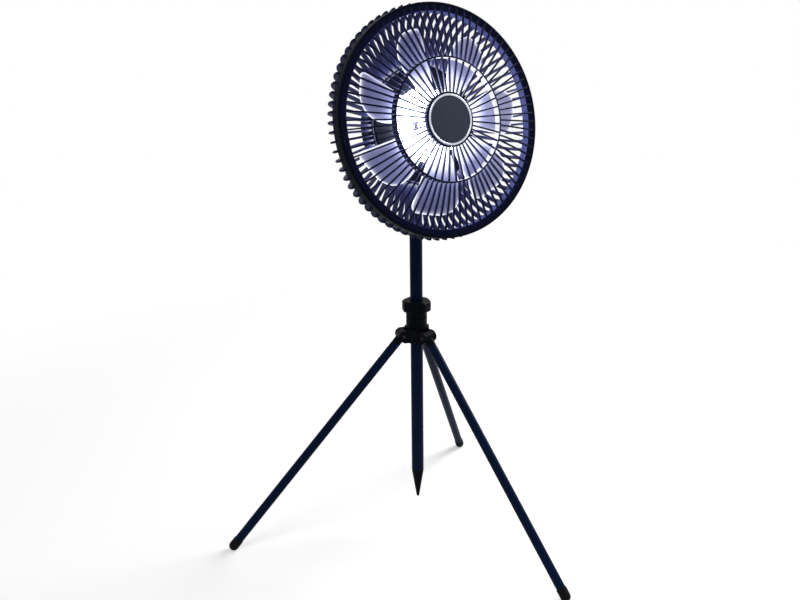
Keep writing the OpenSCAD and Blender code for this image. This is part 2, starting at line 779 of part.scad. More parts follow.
module housing_screws() color(steel) in_head() boss_spots()
    screw(screw_r, -screw_seat - screw_head_h, screw_head_h, -post_end + screw_bite);

// ---- Light ----

module led_board() color("#e8e8e4") in_head()
    ring(light_out_r - diffuser_wall - 0.3, light_in_r + diffuser_wall + 0.3,
         -housing_front, board_front);

module leds() color("#fff7d8") in_head() for (i = [0:led_count - 1])
    rotate(i * 360 / led_count) translate([led_r - led_w / 2, -led_w / 2, board_front])
        cube([led_w, led_w, led_h]);

module light_diffuser() color("white", 0.6) in_head() difference() {
    rotate_extrude($fn = 120) polygon([
        [light_in_r, -housing_front], [light_in_r, -housing_front + light_h - 1],
        [light_in_r + 1.4, -housing_front + light_h],
        [light_out_r - 2.4, -housing_front + light_h],
        [light_out_r, -housing_front + light_h - 2], [light_out_r, -housing_front]]);
    ring(light_out_r - diffuser_wall, light_in_r + diffuser_wall,
         -housing_front - 1, -housing_front + light_h - diffuser_wall);
}

// ---- Motor ----

module motor_spots() {
    for (a = [30:120:270]) rotate(a) translate([motor_base_r - 3, 0, 0]) children();
}

module motor_base() color("#3a3c42") in_head() difference() {
    union() {
        rod(motor_base_r, -housing_front, motor_base_front);
        rod(motor_tube_r, plate_z, motor_front);
    }
    rod(bearing_seat_r, motor_front - bearing_w, motor_front + 1);
    rod(bearing_seat_r, plate_z - 1, plate_z + bearing_w);
    rod(bearing_r - 1, plate_z - 1, motor_front + 1);
    motor_spots() rod(screw_r + seat_gap, -housing_front - 1, motor_base_front + 1);
}

module motor_screws() color(steel) in_head() motor_spots() rotate([180, 0, 0])
    screw(screw_r, -motor_base_front - flat_head_h, flat_head_h, -plate_z + 1.5);

module stator_outline() difference() {
    union() {
        circle(core_r);
        for (k = [1:stator_poles]) rotate(k * 360 / stator_poles) {
            translate([motor_tube_r, -tooth_w / 2])
                square([stator_r - motor_tube_r - shoe_t / 2, tooth_w]);
            intersection() {
                difference() {
                    circle(stator_r);
                    circle(stator_r - shoe_t);
                }
                translate([stator_r - 3, -1.5 * tooth_w]) square([4, 3 * tooth_w]);
            }
        }
    }
    circle(motor_tube_r + seat_gap);
}

module stator_core() color("#7c7f86") in_head() translate([0, 0, can_back + 3])
    linear_extrude(motor_front - can_back - 4) stator_outline();

module stator_windings() color("#b5672c") in_head() for (k = [1:stator_poles])
    rotate(k * 360 / stator_poles) difference() {
        translate([core_r + 0.1, -1.7, can_back + 2.2])
            cube([stator_r - core_r - shoe_t - 0.4, 3.4, motor_front - can_back - 2.4]);
        translate([motor_tube_r, -tooth_w / 2 - seat_gap, can_back + 3 - seat_gap])
            cube([stator_r, tooth_w + 2 * seat_gap, motor_front - can_back - 4 + 2 * seat_gap]);
    }

module motor_bearings() color(steel) in_head() for (z = [motor_front - bearing_w, plate_z])
    ring(bearing_r, shaft_r + run_gap, z, z + bearing_w);

// ---- Rotor ----

// A blade's front edge runs in a long curve to the tip, and its rear edge has a short corner.
function front_angle(r) =
    let (t = max(0, (r - edge_start_r) / (blade_tip_r - edge_start_r)))
    front_edge * sqrt(max(0, 1 - t * t));
function rear_angle(r) =
    let (t = max(0, (r - blade_tip_r + corner) / corner))
    rear_edge * (0.75 + 0.25 * sqrt(max(0, 1 - t * t)));

module blade_outline() {
    steps = 16;
    radii = [for (k = [0:steps]) hub_r - 2 + (blade_tip_r - hub_r + 2) * sin(90 * k / steps)];
    front = [for (r = radii) r * [cos(front_angle(r)), sin(front_angle(r))]];
    rear = [for (r = radii) r * [cos(rear_angle(r)), -sin(rear_angle(r))]];
    tip_back = [for (t = [0.25, 0.5, 0.75]) blade_tip_r
        * [cos(t * rear_angle(blade_tip_r)), -sin(t * rear_angle(blade_tip_r))]];
    polygon(concat(front, tip_back, [for (k = [steps:-1:0]) rear[k]]));
}

module blade() intersection() {
    translate([0, 0, -housing_front]) linear_extrude(2 * housing_front) blade_outline();
    translate([0, camber_r * sin(blade_pitch), -blade_mid - camber_r * cos(blade_pitch)])
        rotate([0, 90, 0]) difference() {
            cylinder(r = camber_r + blade_t / 2, h = head_d, $fn = 180);
            translate([0, 0, -1]) cylinder(r = camber_r - blade_t / 2, h = head_d + 2, $fn = 180);
        }
}

module impeller() color(lavender, 0.7) in_head() difference() {
    union() {
        rod(hub_r, -hub_front - hub_len, -hub_front);
        for (i = [0:blade_count - 1]) rotate(blade_turn + i * 360 / blade_count) blade();
    }
    rod(can_r + seat_gap, -hub_front - hub_len - 5, can_front + seat_gap);
    rod(shaft_r + seat_gap, can_front - 1, -hub_front + 1);
}

module rotor_can() color("#8b8e95") in_head() difference() {
    rod(can_r, can_back, can_front);
    rod(can_r - can_wall, can_back - 1, can_front - can_wall);
    rod(shaft_r + seat_gap, can_back, can_front + 1);
}

module rotor_magnets() color("#2b2c30") in_head()
    ring(magnet_r, magnet_in_r, can_back + 1, can_front - can_wall - seat_gap);

module rotor_shaft() color(steel) in_head()
    rod(shaft_r, plate_z + 0.2, -hub_front + spinner_h - 0.8);

module spinner_nut() color(lavender) in_head() difference() {
    rotate_extrude() polygon([[0, -hub_front], [spinner_r, -hub_front],
        [spinner_r, -hub_front + 1.6], [spinner_r - 1.4, -hub_front + spinner_h],
        [0, -hub_front + spinner_h]]);
    rod(shaft_r + seat_gap, -hub_front - 1, -hub_front + spinner_h - 0.7);
}

// ---- Battery and controls ----

module cells(grow) {
    for (k = [0:cell_count - 1])
        translate([(k - (cell_count - 1) / 2) * cell_step, cell_y - cell_len / 2 - grow,
                   -cell_depth])
            rotate([-90, 0, 0]) cylinder(r = cell_d / 2 + grow, h = cell_len + 2 * grow);
}

module battery_tray() color("#24262b") in_head() difference() {
    translate([-cells_w / 2 - 1, cell_y - cell_len / 2 - 1.5, -cell_depth + 2])
        cube([cells_w + 2, cell_len + 3, cell_depth - 2 + plate_z - seat_gap]);
    cells(seat_gap);
    rod(motor_tube_r + 1, -cell_depth, plate_z + 1);
    motor_spots() rod(screw_r + 0.5, plate_z - 3, plate_z + 1);
}

module battery_cells() color("#2c6fb0") in_head() cells(0);

module control_board() color("#14502c") in_head() {
    translate([-pcb_w / 2, pcb_y - pcb_h / 2, pcb_back]) cube([pcb_w, pcb_h, board_t]);
    for (s = [-1, 1]) translate([s * button_x, pcb_y, 0]) {
        translate([-switch_w / 2, -switch_w / 2, pcb_back - switch_h + plunger_h])
            cube([switch_w, switch_w, switch_h - plunger_h]);
        rod(plunger_r, pcb_back - switch_h, pcb_back);
    }
    for (s = [-1, 1]) translate([s * (pcb_w / 2 - 3.2) - chip_w / 2, pcb_y - 5, pcb_back - chip_h])
        cube([chip_w, 2 * chip_w, chip_h + eps]);
}

module usb_socket() color(steel) in_head() difference() {
    translate([-usb_w / 2, pcb_y - usb_h / 2, usb_back]) cube([usb_w, usb_h, pcb_back - usb_back]);
    translate([-usb_w / 2 + usb_wall, pcb_y - usb_h / 2 + usb_wall, usb_back - 1])
        cube([usb_w - 2 * usb_wall, usb_h - 2 * usb_wall, 6]);
}

module button(x) in_head() translate([x, pcb_y, 0]) {
    rotate_extrude() polygon([[0, button_top], [button_r - button_edge, button_top],
        [button_r, button_top + button_edge], [button_r, button_foot], [0, button_foot]]);
    rod(button_r + 1, -cover_in + side_gap, button_foot);
}

module power_button() color("#2a2c31") button(-button_x);
module light_button() color("#2a2c31") button(button_x);

module port_flap() color(rubber) in_head() {
    translate([-flap_w / 2, pcb_y - flap_h / 2, -cover_back])
        cube([flap_w, flap_h - flap_t / 2, flap_t]);
    translate([-flap_w / 2, flap_hinge_y, -cover_back + flap_t / 2]) rotate([0, 90, 0])
        cylinder(r = flap_t / 2, h = flap_w);
    translate([-tab_w / 2, pcb_y - flap_h / 2, -cover_back - tab_t])
        cube([tab_w, 1.2, tab_t + eps]);
}

module lens_body(grow, z0, z1) {
    translate([-lens_w / 2 - grow, lens_y - lens_h / 2 - grow, z0])
        cube([lens_w + 2 * grow, lens_h + 2 * grow, z1 - z0]);
}

module indicator_lens() color("#dfe9ff", 0.7) in_head()
    lens_body(0, -cover_back - 0.2, pcb_back);

spider();
leg_pins();
clamp_nut();
collet();
leg_knuckle_1();
leg_knuckle_2();
leg_knuckle_3();
leg_tube_1();
leg_tube_2();
leg_tube_3();
leg_foot_1();
leg_foot_2();
leg_foot_3();
pole_tube();
ground_spike();
tilt_fork();
tilt_bolt();
tilt_knob();
head_bracket();
bracket_screws();
rim_band();
front_grille();
rear_grille();
hub_cap();
hub_trim_ring();
motor_housing();
rear_cover();
housing_screws();
led_board();
leds();
light_diffuser();
motor_base();
motor_screws();
stator_core();
stator_windings();
motor_bearings();
impeller();
rotor_can();
rotor_magnets();
rotor_shaft();
spinner_nut();
battery_tray();
battery_cells();
control_board();
usb_socket();
power_button();
light_button();
port_flap();
indicator_lens();
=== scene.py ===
import json
import math
import bmesh
import bpy
from bpy.props import FloatProperty, FloatVectorProperty, IntProperty, PointerProperty
from mathutils import Matrix, Vector


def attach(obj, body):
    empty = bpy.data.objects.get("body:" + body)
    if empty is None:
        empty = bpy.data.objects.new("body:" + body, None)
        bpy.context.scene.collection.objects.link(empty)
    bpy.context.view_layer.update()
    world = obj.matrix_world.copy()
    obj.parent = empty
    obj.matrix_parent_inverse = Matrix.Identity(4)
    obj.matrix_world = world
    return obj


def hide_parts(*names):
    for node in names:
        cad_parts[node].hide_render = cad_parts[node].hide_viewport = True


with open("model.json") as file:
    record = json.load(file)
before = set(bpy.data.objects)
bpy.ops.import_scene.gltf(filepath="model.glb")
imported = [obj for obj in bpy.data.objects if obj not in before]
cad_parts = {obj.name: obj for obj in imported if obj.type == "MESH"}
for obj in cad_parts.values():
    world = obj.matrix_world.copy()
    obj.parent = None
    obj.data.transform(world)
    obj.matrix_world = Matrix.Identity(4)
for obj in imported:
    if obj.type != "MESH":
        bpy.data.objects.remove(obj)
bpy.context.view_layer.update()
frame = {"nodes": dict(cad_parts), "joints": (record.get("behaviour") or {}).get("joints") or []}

bl_info = {
    "name": "Portable Camping Fan",
    "version": (1, 0, 0),
    "blender": (4, 5, 0),
    "location": "3D View > Sidebar > Camping Fan",
    "description": "Dresses the frame of a portable camping fan on a three-legged stand",
    "category": "Object",
}

MM = 0.001
TURN = 2 * math.pi
NODES = frame["nodes"]
JOINTS = {joint["name"]: joint for joint in frame["joints"]}
LEGS = (1, 2, 3)
SHARP = math.radians(32)
SOFT = 0.5   # radius of most rounded corners, in millimetres


# ---- Frames of the object's parts, and sizes read from the CAD nodes in them ----

def pole_frame():
    x, y, _ = JOINTS["clamp_nut_turn"]["pos_m"]
    return Matrix.Translation((x, y, 0))


def head_frame():
    """x right, y up and z forward, with the rim's front plane at z = 0."""
    centre = Vector(JOINTS["impeller_spin"]["pos_m"])
    forward = Vector(JOINTS["impeller_spin"]["axis"]).normalized()
    right = Vector((1, 0, 0))
    front = max((vertex.co - centre).dot(forward) for vertex in NODES["rim_band"].data.vertices)
    matrix = Matrix((right, forward.cross(right), forward)).transposed().to_4x4()
    matrix.translation = centre + forward * front
    return matrix


POLE = pole_frame()
HEAD = head_frame()


def span(node, matrix=HEAD):
    """Lowest and highest corner of a CAD node in the frame of a matrix."""
    inverse = matrix.inverted()
    points = [inverse @ vertex.co for vertex in NODES[node].data.vertices]
    return (Vector([min(point[k] for point in points) for k in range(3)]),
            Vector([max(point[k] for point in points) for k in range(3)]))


def heights(node, matrix=HEAD):
    """Lowest and highest z of a CAD node in the frame of a matrix."""
    return [corner.z for corner in span(node, matrix)]


def radii(node, matrix=HEAD):
    """Smallest and largest distance of a CAD node's points from a frame's z axis."""
    inverse = matrix.inverted()
    values = [(inverse @ vertex.co).xy.length for vertex in NODES[node].data.vertices]
    return min(values), max(values)


RIM_IN_R, RIM_R = radii("rim_band")
RIM_BACK = heights("rim_band")[0]
GRILLE_R = radii("front_grille")[1]
GRILLE_BACK = heights("front_grille")[0]
CAP_R = radii("hub_cap")[1]
CAP_BACK, CAP_FRONT = heights("hub_cap")
TRIM_IN_R, TRIM_R = radii("hub_trim_ring")
TRIM_BACK, TRIM_FRONT = heights("hub_trim_ring")
BASKET_IN_R, FIN_R = radii("rear_grille")
BASKET_BACK, BASKET_FRONT = heights("rear_grille")
BLADE_R = radii("impeller")[1]
LAMP_IN_R, LAMP_R = radii("light_diffuser")
LAMP_BACK, LAMP_FRONT = heights("light_diffuser")
NUT_LOW, NUT_HIGH = heights("clamp_nut", POLE)
NUT_R = radii("clamp_nut", POLE)[1]


# ---- Settings ----

def length(name, millimetres, description):
    return FloatProperty(name=name, description=description, default=millimetres * MM, min=0.0,
                         subtype="DISTANCE", unit="LENGTH", precision=5)


def angle(name, degrees, description):
    return FloatProperty(name=name, description=description, default=math.radians(degrees),
                         subtype="ANGLE", unit="ROTATION")


def colour(name, default, description):
    return FloatVectorProperty(name=name, description=description, default=default, size=3,
                               min=0.0, max=1.0, subtype="COLOR")


def number(name, default, description):
    return IntProperty(name=name, description=description, default=default, min=3)


def amount(name, default, description, **more):
    return FloatProperty(name=name, description=description, default=default, **more)


class GrilleSettings(bpy.types.PropertyGroup):
    inner_ribs: number("Inner ribs", 44, "Ribs between the hub and the middle ring")
    outer_ribs: number("Outer ribs", 78, "Ribs between the middle ring and the rim")
    fins: number("Fins", 78, "Fins of the rear grille")
    rib_width: length("Rib width", 1.5, "Width of a front rib")
    rib_depth: length("Rib depth", 3.0, "Depth of a front rib")
    ring_wall: length("Ring wall", 1.8, "Wall of the grille's rings")
    mid_ring_r: length("Middle ring", 63.0, "Outside radius of the middle ring")
    mid_ring_depth: length("Middle ring depth", 8.0, "Depth of the middle ring")
    dome_rise: length("Dome rise", 16.5, "Rise of the front grille's outer arch")
    middle_rise: length("Middle rise", 1.4, "Rise of the grille inside its middle ring")
    edge_width: length("Edge width", 6.4, "Width of the front grille's sloped edge")
    edge_drop: length("Edge drop", 1.8, "Depth of the opening behind the rim's front")
    fin_width: length("Fin width", 2.2, "Thickness of a fin at its outer edge")
    fin_depth: length("Fin depth", 7.5, "Depth of a fin across its bend")
    fin_root: length("Fin root", 12.0, "Depth of a fin at the inner ring")
    fin_bend: length("Fin bend", 28.0, "Outer radius of the fins' bend")


class ImpellerSettings(bpy.types.PropertyGroup):
    blades: number("Blades", 7, "Number of blades")
    first_blade: angle("First blade", 3.4, "Turn of the first blade from the horizontal")
    pitch: angle("Pitch", 20.0, "Pitch of a blade at its middle")
    camber_r: length("Camber radius", 80.0, "Radius of a blade's camber")
    depth: length("Depth", 7.0, "Depth of the blades' middle behind the rim's front")
    thickness: length("Thickness", 1.8, "Thickness of a blade at its middle")
    rear_edge: angle("Rear edge", 15.5, "Angle from a blade's middle to its rear edge")
    front_edge: angle("Front edge", 20.0, "Angle from a blade's middle to its front edge")
    edge_start: length("Rounding start", 60.0, "Radius where the front edge starts to round")
    edge_glow_width: length("Edge glow width", 1.2, "Width of the lit strip along the edges")


class ColourSettings(bpy.types.PropertyGroup):
    navy: colour("Navy", (0.0035, 0.0045, 0.013), "Moulded plastic of the rim and grilles")
    tube: colour("Tube", (0.003, 0.010, 0.036), "Coating of the pole and leg tubes")
    black: colour("Black", (0.0016, 0.0023, 0.0048), "Moulded plastic of the stand and housing")
    rubber: colour("Rubber", (0.004, 0.004, 0.005), "Rubber of the feet and the port's flap")
    slate: colour("Slate", (0.055, 0.070, 0.108), "Cap in the middle of the front grille")
    lavender: colour("Lavender", (0.42, 0.43, 0.60), "Clear plastic of the blades")
    steel: colour("Steel", (0.60, 0.61, 0.63), "Pins, screws and shafts")


class StageSettings(bpy.types.PropertyGroup):
    camera_distance: length("Camera distance", 1043.2, "Level distance from pole to camera")
    camera_height: length("Camera height", 607.5, "Height of the camera above the floor")
    camera_turn: angle("Camera turn", -32.4, "Turn of the camera's place around the pole")
    camera_yaw: angle("Camera yaw", 1.0, "Turn of the camera off the pole")
    camera_pitch: angle("Camera pitch", 17.37, "Tilt of the camera below the horizon")
    camera_roll: angle("Camera roll", -0.77, "Roll of the camera")
    camera_lens: amount("Lens", 44.26, "Focal length in millimetres", min=1.0)
    floor_size: length("Floor size", 9000.0, "Width of the floor")
    floor_grey: amount("Floor", 0.80, "Brightness of the floor's surface", min=0.0, max=1.0)
    key_power: amount("Key light", 18.0, "Power of the large soft light", unit="POWER")
    side_power: amount("Side light", 38.0, "Power of the soft side light", unit="POWER")
    ambient: amount("Ambient", 0.18, "Strength of the even light")


class FanSettings(bpy.types.PropertyGroup):
    grille: PointerProperty(type=GrilleSettings)
    impeller: PointerProperty(type=ImpellerSettings)
    colours: PointerProperty(type=ColourSettings)
    stage: PointerProperty(type=StageSettings)


# ---- Building meshes ----

def rounded(corners, steps=4):
    """A closed outline of corners (x, y, radius in millimetres), each with an arc in its place."""
    points = []
    for k, (x, y, radius) in enumerate(corners):
        here = Vector((x, y))
        before = Vector(corners[k - 1][:2]) - here
        after = Vector(corners[(k + 1) % len(corners)][:2]) - here
        half = before.angle(after) / 2
        if radius <= 0 or half > math.radians(88):
            points.append(here)
            continue
        back = min(radius * MM / math.tan(half), 0.8 * before.length, 0.8 * after.length)
        middle = (before.normalized() + after.normalized()).normalized()
        centre = here + middle * (back / math.cos(half))
        start = here + before.normalized() * back - centre
        end = here + after.normalized() * back - centre
        sweep = start.angle(end)
        for step in range(steps + 1):
            t = step / steps
            mix = start * math.sin((1 - t) * sweep) + end * math.sin(t * sweep)
            points.append(centre + mix / math.sin(sweep))
    return points


def join(bm, low, high):
    """Faces between two closed rows of equally many vertices."""
    for j in range(len(low)):
        bm.faces.new((low[j - 1], low[j], high[j], high[j - 1]))


def lathe(bm, outline, segments, shape=None):
    """Turns a closed outline of (radius, z) points round the z axis. The shape function may
    change a radius by its turn."""
    rings = []
    for k in range(segments):
        turn = TURN * k / segments
        reach = [(shape(radius, turn) if shape else radius, z) for radius, z in outline]
        rings.append([bm.verts.new((r * math.cos(turn), r * math.sin(turn), z))
                      for r, z in reach])
    for k in range(segments):
        join(bm, rings[k - 1], rings[k])


def ring(bm, corners, segments, steps=4, shape=None):
    """Turns an outline of rounded corners round the z axis."""
    lathe(bm, rounded(corners, steps), segments, shape)


def band(bm, inner_r, outer_r, low, high, segments):
    """A ring with a rectangular section and soft edges."""
    ring(bm, [(inner_r, low, SOFT), (outer_r, low, SOFT), (outer_r, high, SOFT),
              (inner_r, high, SOFT)], segments, 2)


def loft(bm, sections, matrix=Matrix()):
    """Joins sections of equally many points with faces, and closes the two ends."""
    rings = [[bm.verts.new(matrix @ Vector(point)) for point in section] for section in sections]
    for low, high in zip(rings, rings[1:]):
        join(bm, low, high)
    bm.faces.new(rings[0])
    bm.faces.new(rings[-1])
    return rings


def settle(bm, name):
    """A mesh from a bmesh: joined at its seams, facing out and smooth between sharp edges."""
    bmesh.ops.remove_doubles(bm, verts=bm.verts, dist=1e-7)
    bmesh.ops.recalc_face_normals(bm, faces=bm.faces)
    mesh = bpy.data.meshes.new(name)
    bm.to_mesh(mesh)
    bm.free()
    mesh.shade_smooth()
    mesh.set_sharp_from_angle(angle=SHARP)
    return mesh


def linked(name, data):
    """A new object in the scene."""
    thing = bpy.data.objects.new(name, data)
    bpy.context.scene.collection.objects.link(thing)
    return thing


def place(name, bm, matrix, body, look, slot, *replaced, lamp=None):
    """Puts a mesh on its body with its finish, in place of its CAD nodes. Lamp is what
    store_lamp_light takes, for a piece that the lamp shines on."""
    mesh = settle(bm, name)
    if lamp:
        store_lamp_light(mesh, *lamp)
    piece = linked(name, mesh)
    piece.matrix_world = matrix
    mesh.materials.append(finish(look))
    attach(piece, body)
    if replaced:
        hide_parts(*replaced)


def dress(look, edge, *nodes):
    """Gives CAD nodes a finish, and rounds their sharp edges by an edge in millimetres."""
    for node in nodes:
        piece = NODES[node]
        piece.data.materials.clear()
        piece.data.materials.append(finish(look))
        if edge > 0:
            piece.modifiers.new("Weld", "WELD").merge_threshold = 0.002 * MM
            bevel = piece.modifiers.new("Round edges", "BEVEL")
            bevel.width = edge * MM
            bevel.segments = 2
            bevel.limit_method = "ANGLE"
            bevel.angle_limit = SHARP
            bevel.use_clamp_overlap = True
            piece.modifiers.new("Even shading", "WEIGHTED_NORMAL").keep_sharp = True


def store_lamp_light(mesh, gain, spill, through=False):
    """Stores how much of the ring lamp's light falls on each point of a mesh in the head's
    frame, from 0 to 1. Spill is the share that goes sideways and back. Light that comes through
    the mesh counts as well where it is clear."""
    count, reach = 12, 30 * MM
    lamp_r = (LAMP_IN_R + LAMP_R) / 2
    lamps = [Vector((lamp_r * math.cos(turn), lamp_r * math.sin(turn), LAMP_FRONT))
             for turn in (TURN * k / count for k in range(count))]
    values = []
    for vertex in mesh.vertices:
        total = 0.0
        for lamp in lamps:
            way = lamp - vertex.co
            distance = way.length
            facing = vertex.normal.dot(way) / distance
            facing = abs(facing) if through else max(0.0, facing)
            spread_out = spill + (1 - spill) * max(0.0, -way.z / distance)
            total += facing * spread_out * (reach / distance) ** 2
        values.append(1 - math.exp(-gain * total / count))
    mesh.attributes.new("lamp_light", "FLOAT", "POINT").data.foreach_set("value", values)


# ---- Shader node groups ----

DARK, WHITE = (0.01, 0.01, 0.01, 1), (1, 1, 1, 1)
SKIN_OUTPUTS = ("Color", "Roughness", "Height")


def new_group(name, inputs, outputs):
    """A node group with inputs and their defaults, and outputs. Colours have tuples."""
    def kind(is_colour):
        return "NodeSocketColor" if is_colour else "NodeSocketFloat"

    tree = bpy.data.node_groups.new(name, "ShaderNodeTree")
    for label, value in inputs.items():
        socket = tree.interface.new_socket(label, in_out="INPUT",
                                           socket_type=kind(isinstance(value, tuple)))
        socket.default_value = value
    for label in outputs:
        tree.interface.new_socket(label, in_out="OUTPUT", socket_type=kind(label == "Color"))
    return tree, tree.nodes.new("NodeGroupInput").outputs, tree.nodes.new("NodeGroupOutput")


def set_inputs(tree, node, inputs):
    """Sets a node's inputs to values, or links them to sockets. _6 is the input at place 6."""
    for key, value in inputs.items():
        socket = node.inputs[int(key[1:]) if key[0] == "_" else key.replace("_", " ")]
        if isinstance(value, bpy.types.NodeSocket):
            tree.links.new(value, socket)
        else:
            socket.default_value = value


def add(tree, kind, settings=(), **inputs):
    """Adds a shader node with its settings, its inputs set or linked, and gives its outputs."""
    node = tree.nodes.new("ShaderNode" + kind)
    for key, value in dict(settings).items():
        setattr(node, key, value)
    set_inputs(tree, node, inputs)
    return node.outputs


def math_node(tree, operation, a, b=0.0):
    return add(tree, "Math", {"operation": operation}, _0=a, _1=b)[0]


def times(tree, a, b):
    return math_node(tree, "MULTIPLY", a, b)


def plus(tree, a, b):
    return math_node(tree, "ADD", a, b)


def blend_colours(tree, mask, a, b):
    return add(tree, "Mix", {"data_type": "RGBA"}, _0=mask, _6=a, _7=b)[2]


def spread(tree, value, low, high):
    """A value between 0 and 1 turned into a value from low to high."""
    return add(tree, "MapRange", _0=value, _3=low, _4=high)[0]


def mask_between(tree, value, low, high):
    """A smooth step from 0 to 1 between a low and a high value."""
    return add(tree, "MapRange", {"interpolation_type": "SMOOTHSTEP"}, _0=value, _1=low,
               _2=high)[0]


def place_in_object(tree, stretch=(1, 1, 1)):
    """The place on the piece, in its own frame, squeezed along its axes."""
    return add(tree, "Mapping", {"vector_type": "POINT"}, Vector=add(tree, "TexCoord")["Object"],
               Scale=stretch)[0]


def noise(tree, scale, detail=2.0, roughness=0.5, stretch=(1, 1, 1)):
    return add(tree, "TexNoise", Vector=place_in_object(tree, stretch), Scale=scale,
               Detail=detail, Roughness=roughness)["Fac"]


def link_skin(tree, given, out, slow, change, height):
    """Links what every skin gives: a tone that drifts slowly, a changed roughness and relief."""
    low = math_node(tree, "SUBTRACT", 1.0, given["Tone"])
    high = plus(tree, 1.0, given["Tone"])
    factor = add(tree, "MapRange", _0=slow, _1=0.25, _2=0.75, _3=low, _4=high)[0]
    tone = add(tree, "VectorMath", {"operation": "SCALE"}, _0=given["Color"], Scale=factor)[0]
    set_inputs(tree, out, {"Color": tone, "Height": height,
                           "Roughness": plus(tree, given["Roughness"], change)})


def moulded_group(name):
    """The fine spark-eroded skin of moulded plastic, with slow changes of tone."""
    tree, given, out = new_group(name, {
        "Color": DARK, "Roughness": 0.5, "Grain Scale": 1600.0, "Tone": 0.12,
        "Gloss Change": 0.06}, SKIN_OUTPUTS)
    pits = add(tree, "TexVoronoi", {"feature": "SMOOTH_F1"}, Vector=place_in_object(tree),
               Scale=given["Grain Scale"])["Distance"]
    fine = noise(tree, given["Grain Scale"], 3.0)
    slow = noise(tree, 28.0, 3.0, 0.6)
    change = times(tree, math_node(tree, "SUBTRACT", slow, 0.5),
                   times(tree, given["Gloss Change"], 4.0))
    height = plus(tree, times(tree, pits, 0.7), times(tree, fine, 0.5))
    link_skin(tree, given, out, slow, change, height)
    return tree


def coated_group(name):
    """The faint orange peel of a coated tube, with a fine draw grain along its length."""
    tree, given, out = new_group(name, {
        "Color": (0.01, 0.01, 0.02, 1), "Roughness": 0.3, "Tone": 0.15},
        SKIN_OUTPUTS)
    peel = noise(tree, 900.0)
    drawn = noise(tree, 1500.0, 3.0, 0.6, stretch=(1, 1, 0.02))
    height = plus(tree, times(tree, peel, 0.7), times(tree, drawn, 0.3))
    link_skin(tree, given, out, noise(tree, 16.0, 3.0, 0.6), spread(tree, drawn, -0.07, 0.09),
              height)
    return tree


def turned_group(name):
    """Fine rings and lines that turning and grinding leave on metal."""
    tree, given, out = new_group(name, {
        "Color": (0.6, 0.6, 0.6, 1), "Roughness": 0.25, "Line Scale": 2600.0, "Tone": 0.1},
        SKIN_OUTPUTS)
    lines = noise(tree, given["Line Scale"], 3.0, 0.6, stretch=(0.03, 0.03, 1))
    link_skin(tree, given, out, noise(tree, 60.0, 3.0, 0.6), spread(tree, lines, -0.1, 0.12),
              lines)
    return tree


def wear_group(name):
    """Paler, rubbed edges, broken up by noise. Edge takes the mesh's pointiness."""
    tree, given, out = new_group(name, {
        "Color": DARK, "Worn Color": (0.1, 0.1, 0.1, 1), "Edge": 0.5,
        "Amount": 0.5}, ("Color",))
    edge = mask_between(tree, given["Edge"], 0.52, 0.62)
    patches = mask_between(tree, noise(tree, 240.0, 4.0, 0.6), 0.4, 0.7)
    mask = times(tree, times(tree, edge, patches), given["Amount"])
    set_inputs(tree, out, {
        "Color": blend_colours(tree, mask, given["Color"], given["Worn Color"])})
    return tree


def dust_group(name):
    """Thin dust and handling marks in soft patches."""
    tree, given, out = new_group(name, {
        "Color": DARK, "Dust Color": (0.16, 0.15, 0.14, 1), "Roughness": 0.5,
        "Amount": 0.1}, ("Color", "Roughness"))
    patches = mask_between(tree, noise(tree, 34.0, 4.0, 0.65), 0.45, 0.75)
    specks = mask_between(tree, noise(tree, 1900.0), 0.62, 0.72)
    cover = plus(tree, times(tree, patches, 0.35), times(tree, specks, 0.8))
    mask = times(tree, cover, given["Amount"])
    set_inputs(tree, out, {
        "Color": blend_colours(tree, mask, given["Color"], given["Dust Color"]),
        "Roughness": plus(tree, given["Roughness"], times(tree, mask, 0.6))})
    return tree


BUILDERS = {"Moulded skin": moulded_group, "Tube coating": coated_group,
            "Turned metal": turned_group, "Edge wear": wear_group, "Dust": dust_group}
GROUPS = {}


def effect(tree, name, **inputs):
    """Places a shared effect in a material. The effect's group is built the first time."""
    if name not in GROUPS:
        GROUPS[name] = BUILDERS[name](name)
    return add(tree, "Group", {"node_tree": GROUPS[name]}, **inputs)


# ---- Finishes ----

def opaque(rgb):
    return (*rgb, 1.0)


def build_finish(name, rgb, roughness, skin="Moulded skin", bump=0.0, worn=None, wear=0.4,
                 dust=0.0, skin_values=(), extra=None, **sockets):
    """A finish made of a skin effect, then edge wear, then dust, on one Principled shader. Its
    colour can be the name of a colour setting. Extra adds what only this finish has. All other
    values are sockets of the shader."""
    if isinstance(rgb, str):
        rgb = getattr(bpy.context.scene.camping_fan.colours, rgb)
    material = bpy.data.materials.new(name)
    material.use_nodes = True
    tree = material.node_tree
    shader = tree.nodes["Principled BSDF"]
    set_inputs(tree, shader, sockets)
    base = effect(tree, skin, Color=opaque(rgb), Roughness=roughness, **dict(skin_values))
    tone, rough = base["Color"], base["Roughness"]
    if worn:
        edge = add(tree, "NewGeometry")["Pointiness"]
        tone = effect(tree, "Edge wear", Color=tone, Worn_Color=opaque(worn), Edge=edge,
                      Amount=wear)["Color"]
    if dust > 0:
        layer = effect(tree, "Dust", Color=tone, Roughness=rough, Amount=dust)
        tone, rough = layer["Color"], layer["Roughness"]
    set_inputs(tree, shader, {"Base Color": tone, "Roughness": rough})
    if bump > 0:
        add_relief(tree, shader, base["Height"], bump, 0.05)
    if extra:
        extra(tree, shader)
    return material


def add_relief(tree, shader, height, strength, depth):
    """Raises a finish's surface by a height, with a depth in millimetres."""
    relief = add(tree, "Bump", Strength=strength, Distance=depth * MM, Height=height)[0]
    set_inputs(tree, shader, {"Normal": relief})


def stored(tree, name):
    """The light that is stored on the mesh under a name."""
    return add(tree, "Attribute", {"attribute_name": name})["Fac"]


